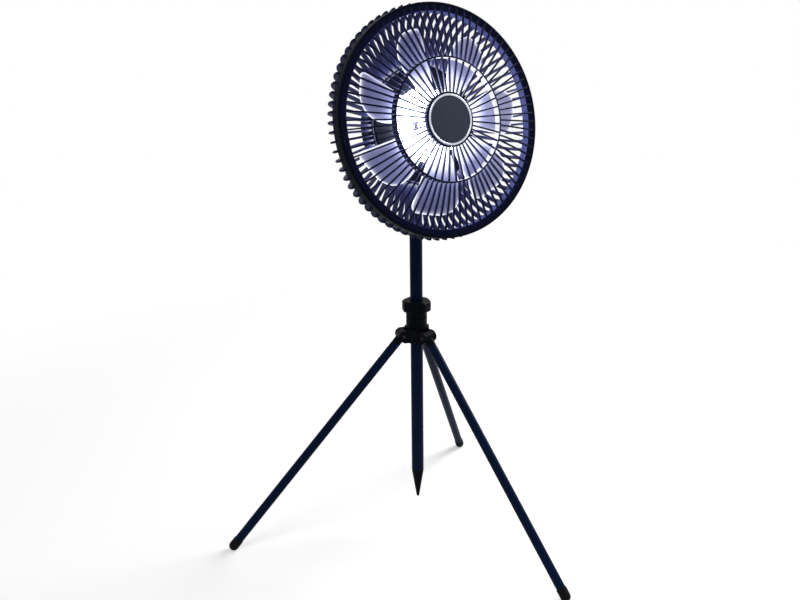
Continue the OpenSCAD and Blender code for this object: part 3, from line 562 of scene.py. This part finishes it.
def lit_by_lamp(tree, shader, dim, deep, bright):
    """Adds the lamp's light that is stored on the mesh to a finish, from dim to bright."""
    ramp = tree.nodes.new("ShaderNodeValToRGB")
    set_inputs(tree, ramp, {"Fac": stored(tree, "lamp_light")})
    stops = ramp.color_ramp.elements
    stops[0].color, stops[1].color = opaque(dim), opaque(bright)
    stops[1].position = 0.85
    stops.new(0.4).color = opaque(deep)
    set_inputs(tree, shader, {"Emission Color": ramp.outputs["Color"]})
    return ramp.outputs["Color"]


def lit_plastic(tree, shader):
    """The plastic around the lamp, which shines on its inner faces."""
    lit_by_lamp(tree, shader, (0.0015, 0.002, 0.010), (0.07, 0.08, 0.24), (0.95, 0.97, 1.0))


def lit_blades(tree, shader):
    """Clear plastic carries the lamp's light to its edges."""
    body = lit_by_lamp(tree, shader, (0.0, 0.0, 0.01), (0.08, 0.085, 0.16), (0.95, 0.96, 1.0))
    uneven = spread(tree, noise(tree, 90.0, 3.0), 0.6, 1.3)
    strength = times(tree, stored(tree, "edge_light"), uneven)
    set_inputs(tree, shader, {
        "Emission Color": blend_colours(tree, strength, body, (0.95, 0.97, 1.0, 1))})


def lamp_spots(tree, shader):
    """A ring of 24 small lamps behind the milky lens, each a brighter spot."""
    turn = add(tree, "SeparateXYZ", Vector=place_in_object(tree))
    around = math_node(tree, "ARCTAN2", turn["Y"], turn["X"])
    spots = math_node(tree, "COSINE", times(tree, around, 24.0))
    mask = add(tree, "MapRange", _0=spots, _1=-1.0, _2=1.0)[0]
    set_inputs(tree, shader, {"Emission Color": blend_colours(
        tree, mask, (0.55, 0.62, 0.78, 1), (0.86, 0.92, 1.0, 1))})


def board_tracks(tree, shader):
    """Faint copper tracks under the solder mask."""
    tone = shader.inputs["Base Color"].links[0].from_socket
    tracks = add(tree, "TexBrick", {"offset": 0.37, "squash": 1.6},
                 Vector=place_in_object(tree), Scale=160.0, Mortar_Size=0.06)["Fac"]
    set_inputs(tree, shader, {
        "Base Color": blend_colours(tree, tracks, tone, (0.05, 0.22, 0.09, 1))})


def wire_turns(tree, shader):
    """The fine turns of a wound wire."""
    turns = add(tree, "TexWave", {"bands_direction": "DIAGONAL"},
                Vector=place_in_object(tree), Scale=900.0, Distortion=0.4)["Fac"]
    add_relief(tree, shader, turns, 0.8, 0.1)


METAL = {"skin": "Turned metal", "Metallic": 1.0}
NAVY = dict(rgb="navy", roughness=0.4, bump=0.35, worn=(0.012, 0.015, 0.028), wear=0.35,
            dust=0.02, Specular_IOR_Level=0.02)
FINISHES = {
    "navy_plastic": dict(NAVY, name="Navy moulded plastic"),
    "lit_navy_plastic": dict(
        NAVY, name="Lit navy moulded plastic", Emission_Strength=1.0, extra=lit_plastic),
    "black_plastic": dict(
        name="Black moulded plastic", rgb="black", roughness=0.46, bump=0.5,
        worn=(0.02, 0.02, 0.022), dust=0.01, Specular_IOR_Level=0.03),
    "tube_coating": dict(
        name="Navy tube coating", rgb="tube", roughness=0.32, skin="Tube coating", bump=0.12,
        dust=0.01, Specular_IOR_Level=0.03),
    "rubber": dict(
        name="Black rubber", rgb="rubber", roughness=0.68, bump=0.6, worn=(0.02, 0.02, 0.02),
        dust=0.04, Specular_IOR_Level=0.08, skin_values={"Grain_Scale": 1100.0}),
    "steel": dict(METAL, name="Bright steel", rgb="steel", roughness=0.28, bump=0.15),
    "blackened_steel": dict(
        METAL, name="Blackened steel", rgb=(0.03, 0.03, 0.034), roughness=0.42, bump=0.2,
        skin_values={"Tone": 0.2}),
    "dark_steel": dict(
        METAL, name="Zinc plated steel", rgb=(0.32, 0.33, 0.35), roughness=0.38, bump=0.2,
        skin_values={"Tone": 0.2}),
    "slate_cap": dict(
        name="Slate cap", rgb="slate", roughness=0.36, bump=0.12, worn=(0.09, 0.1, 0.12),
        wear=0.3, Specular_IOR_Level=0.15, skin_values={"Tone": 0.06, "Grain_Scale": 2400.0}),
    "trim_metal": dict(
        METAL, name="Satin trim metal", rgb=(0.62, 0.66, 0.72), roughness=0.24, bump=0.06,
        skin_values={"Tone": 0.05}),
    "button_plastic": dict(
        name="Soft grey plastic", rgb=(0.035, 0.038, 0.045), roughness=0.55, bump=0.4,
        worn=(0.09, 0.09, 0.1), dust=0.06, Specular_IOR_Level=0.35),
    "printed_mark": dict(
        name="Pale print", rgb=(0.45, 0.47, 0.50), roughness=0.6, Specular_IOR_Level=0.1),
    "magnet_black": dict(
        name="Black magnet", rgb=(0.03, 0.03, 0.034), roughness=0.6, bump=0.6,
        skin_values={"Tone": 0.25}),
    "cast_alloy": dict(
        name="Dark cast alloy", rgb=(0.10, 0.11, 0.12), roughness=0.5, bump=0.7, Metallic=1.0,
        skin_values={"Tone": 0.2, "Grain_Scale": 900.0}),
    "cell_wrap": dict(
        name="Blue cell wrap", rgb=(0.03, 0.12, 0.36), roughness=0.3, bump=0.15,
        skin_values={"Tone": 0.1}),
    "white_mask": dict(
        name="White board", rgb=(0.82, 0.82, 0.80), roughness=0.4, bump=0.1, dust=0.05,
        skin_values={"Tone": 0.03}),
    "board_green": dict(
        name="Green board", rgb=(0.02, 0.12, 0.05), roughness=0.35, bump=0.1,
        extra=board_tracks),
    "copper_wire": dict(
        METAL, name="Enamelled copper wire", rgb=(0.55, 0.20, 0.07), roughness=0.3,
        extra=wire_turns),
    "clear_lens": dict(
        name="Clear light pipe", rgb=(0.22, 0.24, 0.28), roughness=0.4,
        Transmission_Weight=0.3, Specular_IOR_Level=0.2,
        skin_values={"Tone": 0.02, "Gloss_Change": 0.02}),
    "blade_plastic": dict(
        name="Lavender blade plastic", rgb="lavender", roughness=0.3, bump=0.04,
        Transmission_Weight=0.8, IOR=1.49, Emission_Strength=1.0,
        skin_values={"Tone": 0.03, "Gloss_Change": 0.03}, extra=lit_blades),
    "lamp_glow": dict(
        name="Lit milky lens", rgb=(0.9, 0.92, 0.97), roughness=0.45, Transmission_Weight=0.3,
        Emission_Strength=110.0, extra=lamp_spots),
    "phosphor": dict(
        name="Lamp phosphor", rgb=(0.95, 0.90, 0.62), roughness=0.5,
        Emission_Color=(0.85, 0.9, 1.0, 1.0), Emission_Strength=12.0),
}


def finish(look):
    """The material of a finish, built the first time."""
    made = bpy.data.materials.get(FINISHES[look]["name"])
    return made or build_finish(**FINISHES[look])


# ---- Operators ----

class FanOperator(bpy.types.Operator):
    """Common settings of the operators that dress the fan"""
    bl_options = {"REGISTER", "UNDO"}

    @property
    def fan(self):
        return bpy.context.scene.camping_fan


class CAMPINGFAN_OT_rim(FanOperator):
    """Builds the rim band with its rounded front edge"""
    bl_idname = "campingfan.rim"
    bl_label = "Rim"

    def execute(self, context):
        lip_r, lip_back = RIM_R - 2.8 * MM, -3.0 * MM
        groove_z, groove = RIM_BACK + 4.2 * MM, 0.35 * MM
        bm = bmesh.new()
        ring(bm, [
            (lip_r, 0, 0.4), (RIM_R, 0, 2.0), (RIM_R, groove_z + groove, 0.1),
            (RIM_R - groove, groove_z, 0), (RIM_R, groove_z - groove, 0.1),
            (RIM_R, RIM_BACK, 0.9), (RIM_IN_R, RIM_BACK, 0.5), (RIM_IN_R, lip_back, 0.2),
            (lip_r, lip_back, 0)], 192)
        place("rim", bm, HEAD, "head", "navy_plastic", "navy_plastic", "rim_band")
        return {"FINISHED"}


class CAMPINGFAN_OT_front_grille(FanOperator):
    """Builds the domed front grille: its rings and curved ribs"""
    bl_idname = "campingfan.front_grille"
    bl_label = "Front grille"

    def execute(self, context):
        grille = self.fan.grille
        wall, mid_r = grille.ring_wall, grille.mid_ring_r
        hub_in_r = TRIM_R + 0.05 * MM
        hub_r = hub_in_r + wall
        hub_proud, mid_proud = 0.4 * MM, 0.3 * MM
        root, tip = hub_r - 0.8 * MM, GRILLE_R - 0.5 * MM
        plate_front, plate_back = CAP_BACK - 0.1 * MM, CAP_BACK - 1.6 * MM
        arch = self.ball(grille.dome_rise, GRILLE_R)
        mid_z = self.height(arch, mid_r)
        middle = self.ball(grille.middle_rise, mid_r, mid_z)
        hub_z = self.height(middle, hub_r) + hub_proud
        bm = bmesh.new()
        ring(bm, [
            (hub_in_r, hub_z, SOFT), (hub_r, hub_z, SOFT), (hub_r, plate_back, SOFT),
            (0, plate_back, 0), (0, plate_front, 0), (hub_in_r, plate_front, 0.2)], 128, 2)
        band(bm, mid_r - wall, mid_r, mid_z - grille.mid_ring_depth, mid_z + mid_proud, 192)
        self.edge(bm)
        self.ribs(bm, middle, grille.inner_ribs, root, mid_r - wall / 2)
        self.ribs(bm, arch, grille.outer_ribs, mid_r - wall / 2, tip)
        place("front_grille_ribs", bm, HEAD, "head", "lit_navy_plastic", "navy_plastic",
              "front_grille", lamp=(22, 0.1))
        return {"FINISHED"}

    def ball(self, rise, r, base=0.0):
        """Radius and centre height of a ball that rises over a circle at a base height."""
        radius = (r ** 2 + rise ** 2) / (2 * rise)
        return radius, base + rise - radius

    def height(self, ball, r):
        return ball[1] + math.sqrt(ball[0] ** 2 - r ** 2)

    def edge(self, bm):
        """The sloped edge in the rim's rebate, its flange and its skirt. The slope has one more
        point near the opening, so that the lamp's light there doesn't spread over the slope."""
        grille = self.fan.grille
        open_r = GRILLE_R - grille.edge_width
        skirt_r = open_r + grille.ring_wall
        flange_r, flange_back = RIM_IN_R - 0.05 * MM, -7 * MM
        front, seat = -0.3 * MM, -2.95 * MM
        slope = (grille.edge_drop + front) / grille.edge_width
        near = 1.2 * MM
        ring(bm, [
            (open_r, -grille.edge_drop, SOFT), (open_r + near, near * slope - grille.edge_drop, 0),
            (GRILLE_R, front, 0.3), (GRILLE_R, seat, 0), (flange_r, seat, 0),
            (flange_r, flange_back, SOFT), (skirt_r, flange_back, SOFT),
            (skirt_r, GRILLE_BACK, SOFT), (open_r, GRILLE_BACK, SOFT)], 192, 2)

    def ribs(self, bm, ball, count, r0, r1, steps=9):
        """Curved ribs with rounded edges, their fronts on a ball."""
        grille = self.fan.grille
        half_w, half_d = grille.rib_width / 2, grille.rib_depth / 2
        outline = rounded([(-half_w, -half_d, 0.4), (half_w, -half_d, 0.4),
                           (half_w, half_d, 0.6), (-half_w, half_d, 0.6)], 2)
        sections = []
        for step in range(steps + 1):
            r = r0 + (r1 - r0) * step / steps
            tilt = math.asin(r / ball[0])
            outward = Vector((math.sin(tilt), 0, math.cos(tilt)))
            centre = Vector((r, 0, self.height(ball, r))) - outward * half_d
            sections.append([centre + Vector((0, x, 0)) + outward * y for x, y in outline])
        for k in range(count):
            loft(bm, sections, Matrix.Rotation(TURN * k / count, 4, "Z"))


class CAMPINGFAN_OT_hub_cap(FanOperator):
    """Builds the slate cap and the bright ring around it"""
    bl_idname = "campingfan.hub_cap"
    bl_label = "Hub cap"

    def execute(self, context):
        crown, fullness, steps = 0.6 * MM, 1.2, 8
        shoulder_r, shoulder = 0.98 * CAP_R, CAP_FRONT - 1.2 * MM
        front = [(CAP_R * math.sin(t), CAP_FRONT - crown * (1 - math.cos(t)) * fullness)
                 for t in (math.pi / 2 * k / steps for k in range(steps))]
        side = rounded([(shoulder_r, CAP_FRONT - crown, 0), (CAP_R, shoulder, SOFT),
                        (CAP_R, CAP_BACK, 0)], 3)
        bm = bmesh.new()
        lathe(bm, front + side + [(0, CAP_BACK)], 128)
        place("cap", bm, HEAD, "head", "slate_cap", "slate_cap", "hub_cap")
        bm = bmesh.new()
        ring(bm, [(TRIM_IN_R, TRIM_BACK, 0), (TRIM_IN_R, TRIM_FRONT, 0.9),
                  (TRIM_R, TRIM_FRONT, 0.9), (TRIM_R, TRIM_BACK, 0)], 160, 6)
        place("trim_ring", bm, HEAD, "head", "trim_metal", "silver_trim", "hub_trim_ring")
        return {"FINISHED"}


class CAMPINGFAN_OT_rear_grille(FanOperator):
    """Builds the basket of bent fins behind the rim"""
    bl_idname = "campingfan.rear_grille"
    bl_label = "Rear grille"

    def execute(self, context):
        grille = self.fan.grille
        root = Vector((BASKET_IN_R + 1.0 * MM, BASKET_BACK + 0.6 * MM))
        root_front = root + Vector((0, grille.fin_root))
        bend = Vector((FIN_R - grille.fin_bend, BASKET_FRONT - 1.6 * MM))
        inner = grille.fin_bend - grille.fin_depth
        fin_front = BASKET_FRONT - 1.0 * MM
        dx, dz = bend - root
        sweep = math.atan2(dz, -dx) - math.acos(grille.fin_bend / math.hypot(dx, dz))
        path = [(Vector((FIN_R - 1.0 * MM, fin_front)), Vector((bend.x + inner, fin_front)))]
        bend_steps, run_steps = 9, 3
        for k in range(bend_steps + 1):
            t = sweep * k / bend_steps
            direction = Vector((math.cos(t), -math.sin(t)))
            path.append((bend + direction * grille.fin_bend, bend + direction * inner))
        outer_end, inner_end = path[-1]
        for k in range(1, run_steps + 1):
            path.append((outer_end.lerp(root, k / run_steps),
                         inner_end.lerp(root_front, k / run_steps)))
        sections = [self.section(outer, inner) for outer, inner in path]
        bm = bmesh.new()
        for k in range(grille.fins):
            loft(bm, sections, Matrix.Rotation(TURN * k / grille.fins, 4, "Z"))
        band(bm, RIM_R - 6 * MM, RIM_R - 0.5 * MM, BASKET_FRONT - 3 * MM, BASKET_FRONT, 192)
        band(bm, BASKET_IN_R, BASKET_IN_R + 2.4 * MM, BASKET_BACK, root_front.y + 0.6 * MM, 160)
        place("rear_grille_fins", bm, HEAD, "head", "lit_navy_plastic", "navy_plastic",
              "rear_grille", lamp=(26, 0.2))
        return {"FINISHED"}

    def section(self, outer, inner):
        """A fin's section across its depth, round at the outer edge and thinner inside."""
        middle = (outer + inner) / 2
        away = (outer - inner).normalized()
        half = (outer - inner).length / 2
        width = self.fan.grille.fin_width
        wide, thin = 0.5 * width, 0.36 * width
        outline = rounded([(-thin, -half, 0.4), (thin, -half, 0.4), (wide, half, 1.0),
                           (-wide, half, 1.0)], 3)
        return [Vector((middle.x + away.x * y, x, middle.y + away.y * y)) for x, y in outline]


class CAMPINGFAN_OT_housing(FanOperator):
    """Finishes the motor housing, its rear cover and the screws"""
    bl_idname = "campingfan.housing"
    bl_label = "Housing"

    def execute(self, context):
        dress("black_plastic", 0.4, "motor_housing")
        dress("black_plastic", 0.5, "rear_cover")
        dress("dark_steel", 0.15, "housing_screws", "bracket_screws", "motor_screws")
        return {"FINISHED"}


class CAMPINGFAN_OT_impeller(FanOperator):
    """Builds the lit, tinted blades on their hub"""
    bl_idname = "campingfan.impeller"
    bl_label = "Impeller"

    def execute(self, context):
        fan = self.fan.impeller
        hub_r, can_r, shaft_r = 17 * MM, 14.05 * MM, 1.6 * MM
        hub_back, hub_front = -22.5 * MM, -0.5 * MM
        hub_inside = hub_front - 2.95 * MM
        root_r = hub_r - 2 * MM
        bm = bmesh.new()
        glow = bm.verts.layers.float.new("edge_light")
        ring(bm, [
            (shaft_r, hub_front, 0), (hub_r, hub_front, 2.5), (hub_r, hub_back, 0.6),
            (can_r, hub_back, 0.3), (can_r, hub_inside, 0.3), (shaft_r, hub_inside, 0)], 96)
        for k in range(fan.blades):
            turn = Matrix.Rotation(fan.first_blade + TURN * k / fan.blades, 4, "Z")
            self.blade(bm, glow, turn, root_r)
        place("blades", bm, HEAD, "rotor", "blade_plastic", "blade_plastic", "impeller",
              lamp=(7, 0.25, True))
        dress("blade_plastic", 0.3, "spinner_nut")
        return {"FINISHED"}

    def rounding(self, r, start):
        """Falls from 1 to 0 between a radius and the blade's tip, as a quarter of a circle."""
        t = max(0.0, (r - start) / (BLADE_R - start))
        return math.sqrt(max(0.0, 1 - t * t))

    def surface(self, y):
        """Height of a blade's middle surface at a distance across the blade."""
        fan = self.fan.impeller
        across = y - fan.camber_r * math.sin(fan.pitch)
        return (-fan.depth - fan.camber_r * math.cos(fan.pitch)
                + math.sqrt(fan.camber_r ** 2 - across ** 2))

    def blade(self, bm, glow, turn, root_r, rows=26, columns=18):
        """A cambered blade, thinner towards its edges, which hold the light."""
        fan = self.fan.impeller
        rear_start = BLADE_R - 9 * MM
        taper, edge_share = 2.5 * MM, 0.3
        sections, lights = [], []
        for row in range(rows + 1):
            r = root_r + (BLADE_R - root_r) * math.sin(math.pi / 2 * row / rows)
            r = min(r, BLADE_R - 0.01 * MM)
            low = -fan.rear_edge * (0.75 + 0.25 * self.rounding(r, rear_start))
            high = fan.front_edge * self.rounding(r, fan.edge_start)
            top, bottom, light = [], [], []
            for column in range(columns + 1):
                s = (1 - math.cos(math.pi * column / columns)) / 2
                theta = low + (high - low) * s
                x, y = r * math.cos(theta), r * math.sin(theta)
                near = min(min(s, 1 - s) * (high - low) * r, BLADE_R - r)
                body = min(1.0, near / taper)
                share = edge_share + (1 - edge_share) * math.sqrt(body * (2 - body))
                half = fan.thickness / 2 * share
                z = self.surface(y)
                top.append((x, y, z + half))
                bottom.append((x, y, z - half))
                light.append(math.exp(-near / fan.edge_glow_width))
            sections.append(top + bottom[::-1])
            lights.append(light + light[::-1])
        for row, values in zip(loft(bm, sections, turn), lights):
            for vertex, value in zip(row, values):
                vertex[glow] = value


class CAMPINGFAN_OT_lamp(FanOperator):
    """Finishes the ring lamp and its small lamps"""
    bl_idname = "campingfan.lamp"
    bl_label = "Ring lamp"

    def execute(self, context):
        wall = 1.4 * MM
        inside = LAMP_FRONT - wall
        bm = bmesh.new()
        ring(bm, [
            (LAMP_IN_R, LAMP_BACK, 0), (LAMP_IN_R, LAMP_FRONT, 1.4), (LAMP_R, LAMP_FRONT, 2.4),
            (LAMP_R, LAMP_BACK, 0), (LAMP_R - wall, LAMP_BACK, 0), (LAMP_R - wall, inside, 0.8),
            (LAMP_IN_R + wall, inside, 0.6), (LAMP_IN_R + wall, LAMP_BACK, 0)], 144)
        place("lamp_lens", bm, HEAD, "head", "lamp_glow", "diffuser", "light_diffuser")
        dress("white_mask", 0, "led_board")
        dress("phosphor", 0, "leds")
        return {"FINISHED"}


class CAMPINGFAN_OT_motor(FanOperator):
    """Finishes the motor inside the hub"""
    bl_idname = "campingfan.motor"
    bl_label = "Motor"

    def execute(self, context):
        dress("cast_alloy", 0.2, "motor_base")
        dress("dark_steel", 0, "stator_core", "rotor_can")
        dress("copper_wire", 0.3, "stator_windings")
        dress("steel", 0, "motor_bearings", "rotor_shaft")
        dress("magnet_black", 0, "rotor_magnets")
        return {"FINISHED"}


class CAMPINGFAN_OT_controls(FanOperator):
    """Finishes the cells, the board, the socket and the flap, and marks the buttons"""
    bl_idname = "campingfan.controls"
    bl_label = "Battery and controls"

    LINE = 0.25 * MM    # half the width of a mark's lines
    PRINT = 0.05 * MM   # half the thickness of a mark

    def execute(self, context):
        dress("black_plastic", 0.3, "battery_tray")
        dress("cell_wrap", 0.5, "battery_cells")
        dress("board_green", 0, "control_board")
        dress("steel", 0, "usb_socket")
        dress("clear_lens", 0.2, "indicator_lens")
        dress("button_plastic", 0.3, "power_button", "light_button")
        dress("rubber", 0.25, "port_flap")
        self.power_mark()
        self.light_mark()
        return {"FINISHED"}

    def power_mark(self):
        """A circle that is open at its top, with a line in the opening."""
        top, gap, steps, r = TURN / 4, 0.6, 32, 2.3 * MM
        bm = bmesh.new()
        turns = [top + gap + (TURN - 2 * gap) * k / steps for k in range(steps + 1)]
        self.plate(bm, [(r + self.LINE, t) for t in turns]
                   + [(r - self.LINE, t) for t in turns[::-1]])
        self.bar(bm, top, 0.6 * MM, 3.0 * MM)
        self.print_mark(bm, "power_button")

    def light_mark(self):
        """A small circle with rays around it."""
        rays, r = 8, 1.3 * MM
        bm = bmesh.new()
        lathe(bm, [(r - self.LINE, -self.PRINT), (r + self.LINE, -self.PRINT),
                   (r + self.LINE, self.PRINT), (r - self.LINE, self.PRINT)], 32)
        for k in range(rays):
            self.bar(bm, TURN * k / rays, 2.2 * MM, 3.2 * MM)
        self.print_mark(bm, "light_button")

    def bar(self, bm, turn, r0, r1):
        """A thin straight line that points to the middle of a mark."""
        self.plate(bm, [(math.hypot(r, side), turn + math.atan2(side, r)) for r, side in (
            (r0, self.LINE), (r0, -self.LINE), (r1, -self.LINE), (r1, self.LINE))])

    def plate(self, bm, outline):
        """A very thin plate with an outline of (radius, turn) points."""
        points = [(r * math.cos(turn), r * math.sin(turn)) for r, turn in outline]
        loft(bm, [[(x, y, z) for x, y in points] for z in (-self.PRINT, self.PRINT)])

    def print_mark(self, bm, button):
        """Puts a mark in the middle of a button's face."""
        low, high = span(button)
        middle = Matrix.Translation(((low.x + high.x) / 2, (low.y + high.y) / 2, low.z))
        place(f"{button}_mark", bm, HEAD @ middle, button, "printed_mark", "button_plastic")


class CAMPINGFAN_OT_tilt_hinge(FanOperator):
    """Finishes the bracket, the fork, the bolt and the knob of the tilt hinge"""
    bl_idname = "campingfan.tilt_hinge"
    bl_label = "Tilt hinge"

    def execute(self, context):
        dress("black_plastic", 0.5, "head_bracket", "tilt_fork")
        dress("black_plastic", 0.4, "tilt_knob")
        dress("steel", 0.25, "tilt_bolt")
        return {"FINISHED"}


class CAMPINGFAN_OT_pole(FanOperator):
    """Finishes the pole and its ground spike"""
    bl_idname = "campingfan.pole"
    bl_label = "Pole and spike"

    def execute(self, context):
        dress("tube_coating", 0, "pole_tube")
        dress("black_plastic", 0.2, "ground_spike")
        return {"FINISHED"}


class CAMPINGFAN_OT_collar(FanOperator):
    """Builds the clamp nut, and finishes the spider, the collet and the pins"""
    bl_idname = "campingfan.collar"
    bl_label = "Collar"

    def execute(self, context):
        dress("black_plastic", 0, "spider")
        dress("blackened_steel", 0.2, "leg_pins")
        dress("black_plastic", 0.2, "collet")
        bore_r, lip_r, lip_z = 10.25 * MM, 7.3 * MM, NUT_HIGH - 2 * MM
        bm = bmesh.new()
        ring(bm, [
            (bore_r, NUT_LOW, 0.3), (NUT_R - 0.6 * MM, NUT_LOW, 1.0),
            (NUT_R, NUT_LOW + 1.2 * MM, 0.6), (NUT_R, NUT_HIGH - 1.8 * MM, 0.8),
            (NUT_R - 2.4 * MM, NUT_HIGH, 0.8), (lip_r, NUT_HIGH, 0.4),
            (lip_r, lip_z, 0), (bore_r, lip_z, 0)], 192, 3, self.grip)
        place("nut", bm, POLE, "clamp_nut", "black_plastic", "black_plastic", "clamp_nut")
        return {"FINISHED"}

    def grip(self, r, turn):
        """Cuts eight flats into the outside of the nut."""
        flats, flat_share, outside_share = 8, 0.956, 0.72
        if r < outside_share * NUT_R:
            return r
        to_flat = (turn % (TURN / flats)) - TURN / flats / 2
        return r * min(1.0, flat_share / math.cos(to_flat))


class CAMPINGFAN_OT_legs(FanOperator):
    """Finishes the three legs and their rubber feet"""
    bl_idname = "campingfan.legs"
    bl_label = "Legs"

    def execute(self, context):
        for leg in LEGS:
            dress("black_plastic", 0.5, f"leg_knuckle_{leg}")
            dress("tube_coating", 0, f"leg_tube_{leg}")
            dress("rubber", 0.4, f"leg_foot_{leg}")
        return {"FINISHED"}


class CAMPINGFAN_OT_stage(FanOperator):
    """Builds the floor, the lights, the world and the camera"""
    bl_idname = "campingfan.stage"
    bl_label = "Stage"

    def execute(self, context):
        stage = self.fan.stage
        self.floor()
        self.world()
        self.soft_light("Key light", (-1.1, -0.9, 1.9), 1.4, stage.key_power)
        self.soft_light("Side light", (1.7, 0.1, 0.8), 1.2, stage.side_power)
        self.camera()
        return {"FINISHED"}

    def seen(self, tree):
        """1 for what the camera sees, also through and in other things, and 0 for light."""
        path = add(tree, "LightPath")
        return math_node(tree, "MAXIMUM", path["Is Camera Ray"],
                         math_node(tree, "MAXIMUM", path["Is Glossy Ray"],
                                   path["Is Transmission Ray"]))

    def mix(self, tree, share, first, second, end):
        """Mixes two shaders, and gives them to a tree's end node."""
        shader = add(tree, "MixShader", _0=share, _1=first, _2=second)[0]
        set_inputs(tree, tree.nodes[end], {"Surface": shader})

    def floor(self):
        """A pale floor that holds soft shadows near the fan, and turns white further out."""
        grey, half = self.fan.stage.floor_grey, self.fan.stage.floor_size / 2
        lift, fade_start, fade_end = 0.42, 0.45, 1.1
        mesh = bpy.data.meshes.new("floor")
        mesh.from_pydata([(-half, -half, 0), (half, -half, 0), (half, half, 0), (-half, half, 0)],
                         [], [(0, 1, 2, 3)])
        floor = linked("floor", mesh)
        material = bpy.data.materials.new("Pale floor")
        material.use_nodes = True
        tree = material.node_tree
        shader = tree.nodes["Principled BSDF"]
        set_inputs(tree, shader, {"Base Color": (grey, grey, grey, 1), "Roughness": 0.8,
                                  "Specular IOR Level": 0.1})
        seen = self.seen(tree)
        glow = add(tree, "Emission", Color=WHITE, Strength=times(tree, seen, lift))[0]
        near = add(tree, "AddShader", _0=shader.outputs[0], _1=glow)[0]
        far = add(tree, "Emission", Color=WHITE, Strength=seen)[0]
        distance = add(tree, "VectorMath", {"operation": "LENGTH"},
                       _0=place_in_object(tree))["Value"]
        self.mix(tree, mask_between(tree, distance, fade_start, fade_end), near, far,
                 "Material Output")
        mesh.materials.append(material)

    def world(self):
        """White where the camera sees past the floor, and an even soft grey as light."""
        world = bpy.data.worlds.new("Studio")
        bpy.context.scene.world = world
        world.use_nodes = True
        tree = world.node_tree
        even = tree.nodes["Background"]
        set_inputs(tree, even, {"Color": WHITE, "Strength": self.fan.stage.ambient})
        white = add(tree, "Background", Color=WHITE, Strength=1.0)[0]
        self.mix(tree, self.seen(tree), even.outputs[0], white, "World Output")

    def soft_light(self, name, offset, size, power):
        """A round soft light that shines on the head from an offset."""
        data = bpy.data.lights.new(name, "AREA")
        data.shape = "DISK"
        data.size = size
        data.energy = power
        light = linked(name, data)
        light.location = HEAD.translation + Vector(offset)
        light.rotation_euler = (-Vector(offset)).to_track_quat("-Z", "Y").to_euler()

    def camera(self):
        stage = self.fan.stage
        data = bpy.data.cameras.new("Camera")
        data.lens = stage.camera_lens
        data.sensor_width = 36.0
        camera = linked("Camera", data)
        away = Matrix.Rotation(stage.camera_turn, 4, "Z") @ Vector(
            (0, -stage.camera_distance, stage.camera_height))
        camera.matrix_world = (
            Matrix.Translation(POLE.translation + away)
            @ Matrix.Rotation(stage.camera_turn + stage.camera_yaw, 4, "Z")
            @ Matrix.Rotation(math.pi / 2 - stage.camera_pitch, 4, "X")
            @ Matrix.Rotation(stage.camera_roll, 4, "Z"))
        bpy.context.scene.camera = camera
        bpy.context.scene.view_settings.view_transform = "Standard"


OPERATORS = [
    CAMPINGFAN_OT_stage, CAMPINGFAN_OT_legs, CAMPINGFAN_OT_collar, CAMPINGFAN_OT_pole,
    CAMPINGFAN_OT_tilt_hinge, CAMPINGFAN_OT_rim, CAMPINGFAN_OT_front_grille,
    CAMPINGFAN_OT_hub_cap, CAMPINGFAN_OT_rear_grille, CAMPINGFAN_OT_housing,
    CAMPINGFAN_OT_impeller, CAMPINGFAN_OT_lamp, CAMPINGFAN_OT_motor, CAMPINGFAN_OT_controls]


class CAMPINGFAN_PT_panel(bpy.types.Panel):
    """Lists the operators that dress the fan"""
    bl_idname = "CAMPINGFAN_PT_panel"
    bl_label = "Camping Fan"
    bl_space_type = "VIEW_3D"
    bl_region_type = "UI"
    bl_category = "Camping Fan"

    def draw(self, context):
        column = self.layout.column()
        for operator in OPERATORS:
            column.operator(operator.bl_idname)
        fan = context.scene.camping_fan
        for group in (fan.grille, fan.impeller, fan.colours, fan.stage):
            box = self.layout.box()
            for key in group.__annotations__:
                box.prop(group, key)


CLASSES = [GrilleSettings, ImpellerSettings, ColourSettings, StageSettings, FanSettings,
           *OPERATORS, CAMPINGFAN_PT_panel]


def register():
    for kind in CLASSES:
        bpy.utils.register_class(kind)
    bpy.types.Scene.camping_fan = PointerProperty(type=FanSettings)


def unregister():
    del bpy.types.Scene.camping_fan
    for kind in reversed(CLASSES):
        bpy.utils.unregister_class(kind)


def main():
    register()
    for operator in OPERATORS:
        group, name = operator.bl_idname.split(".")
        getattr(getattr(bpy.ops, group), name)()


if __name__ == "__main__":
    main()
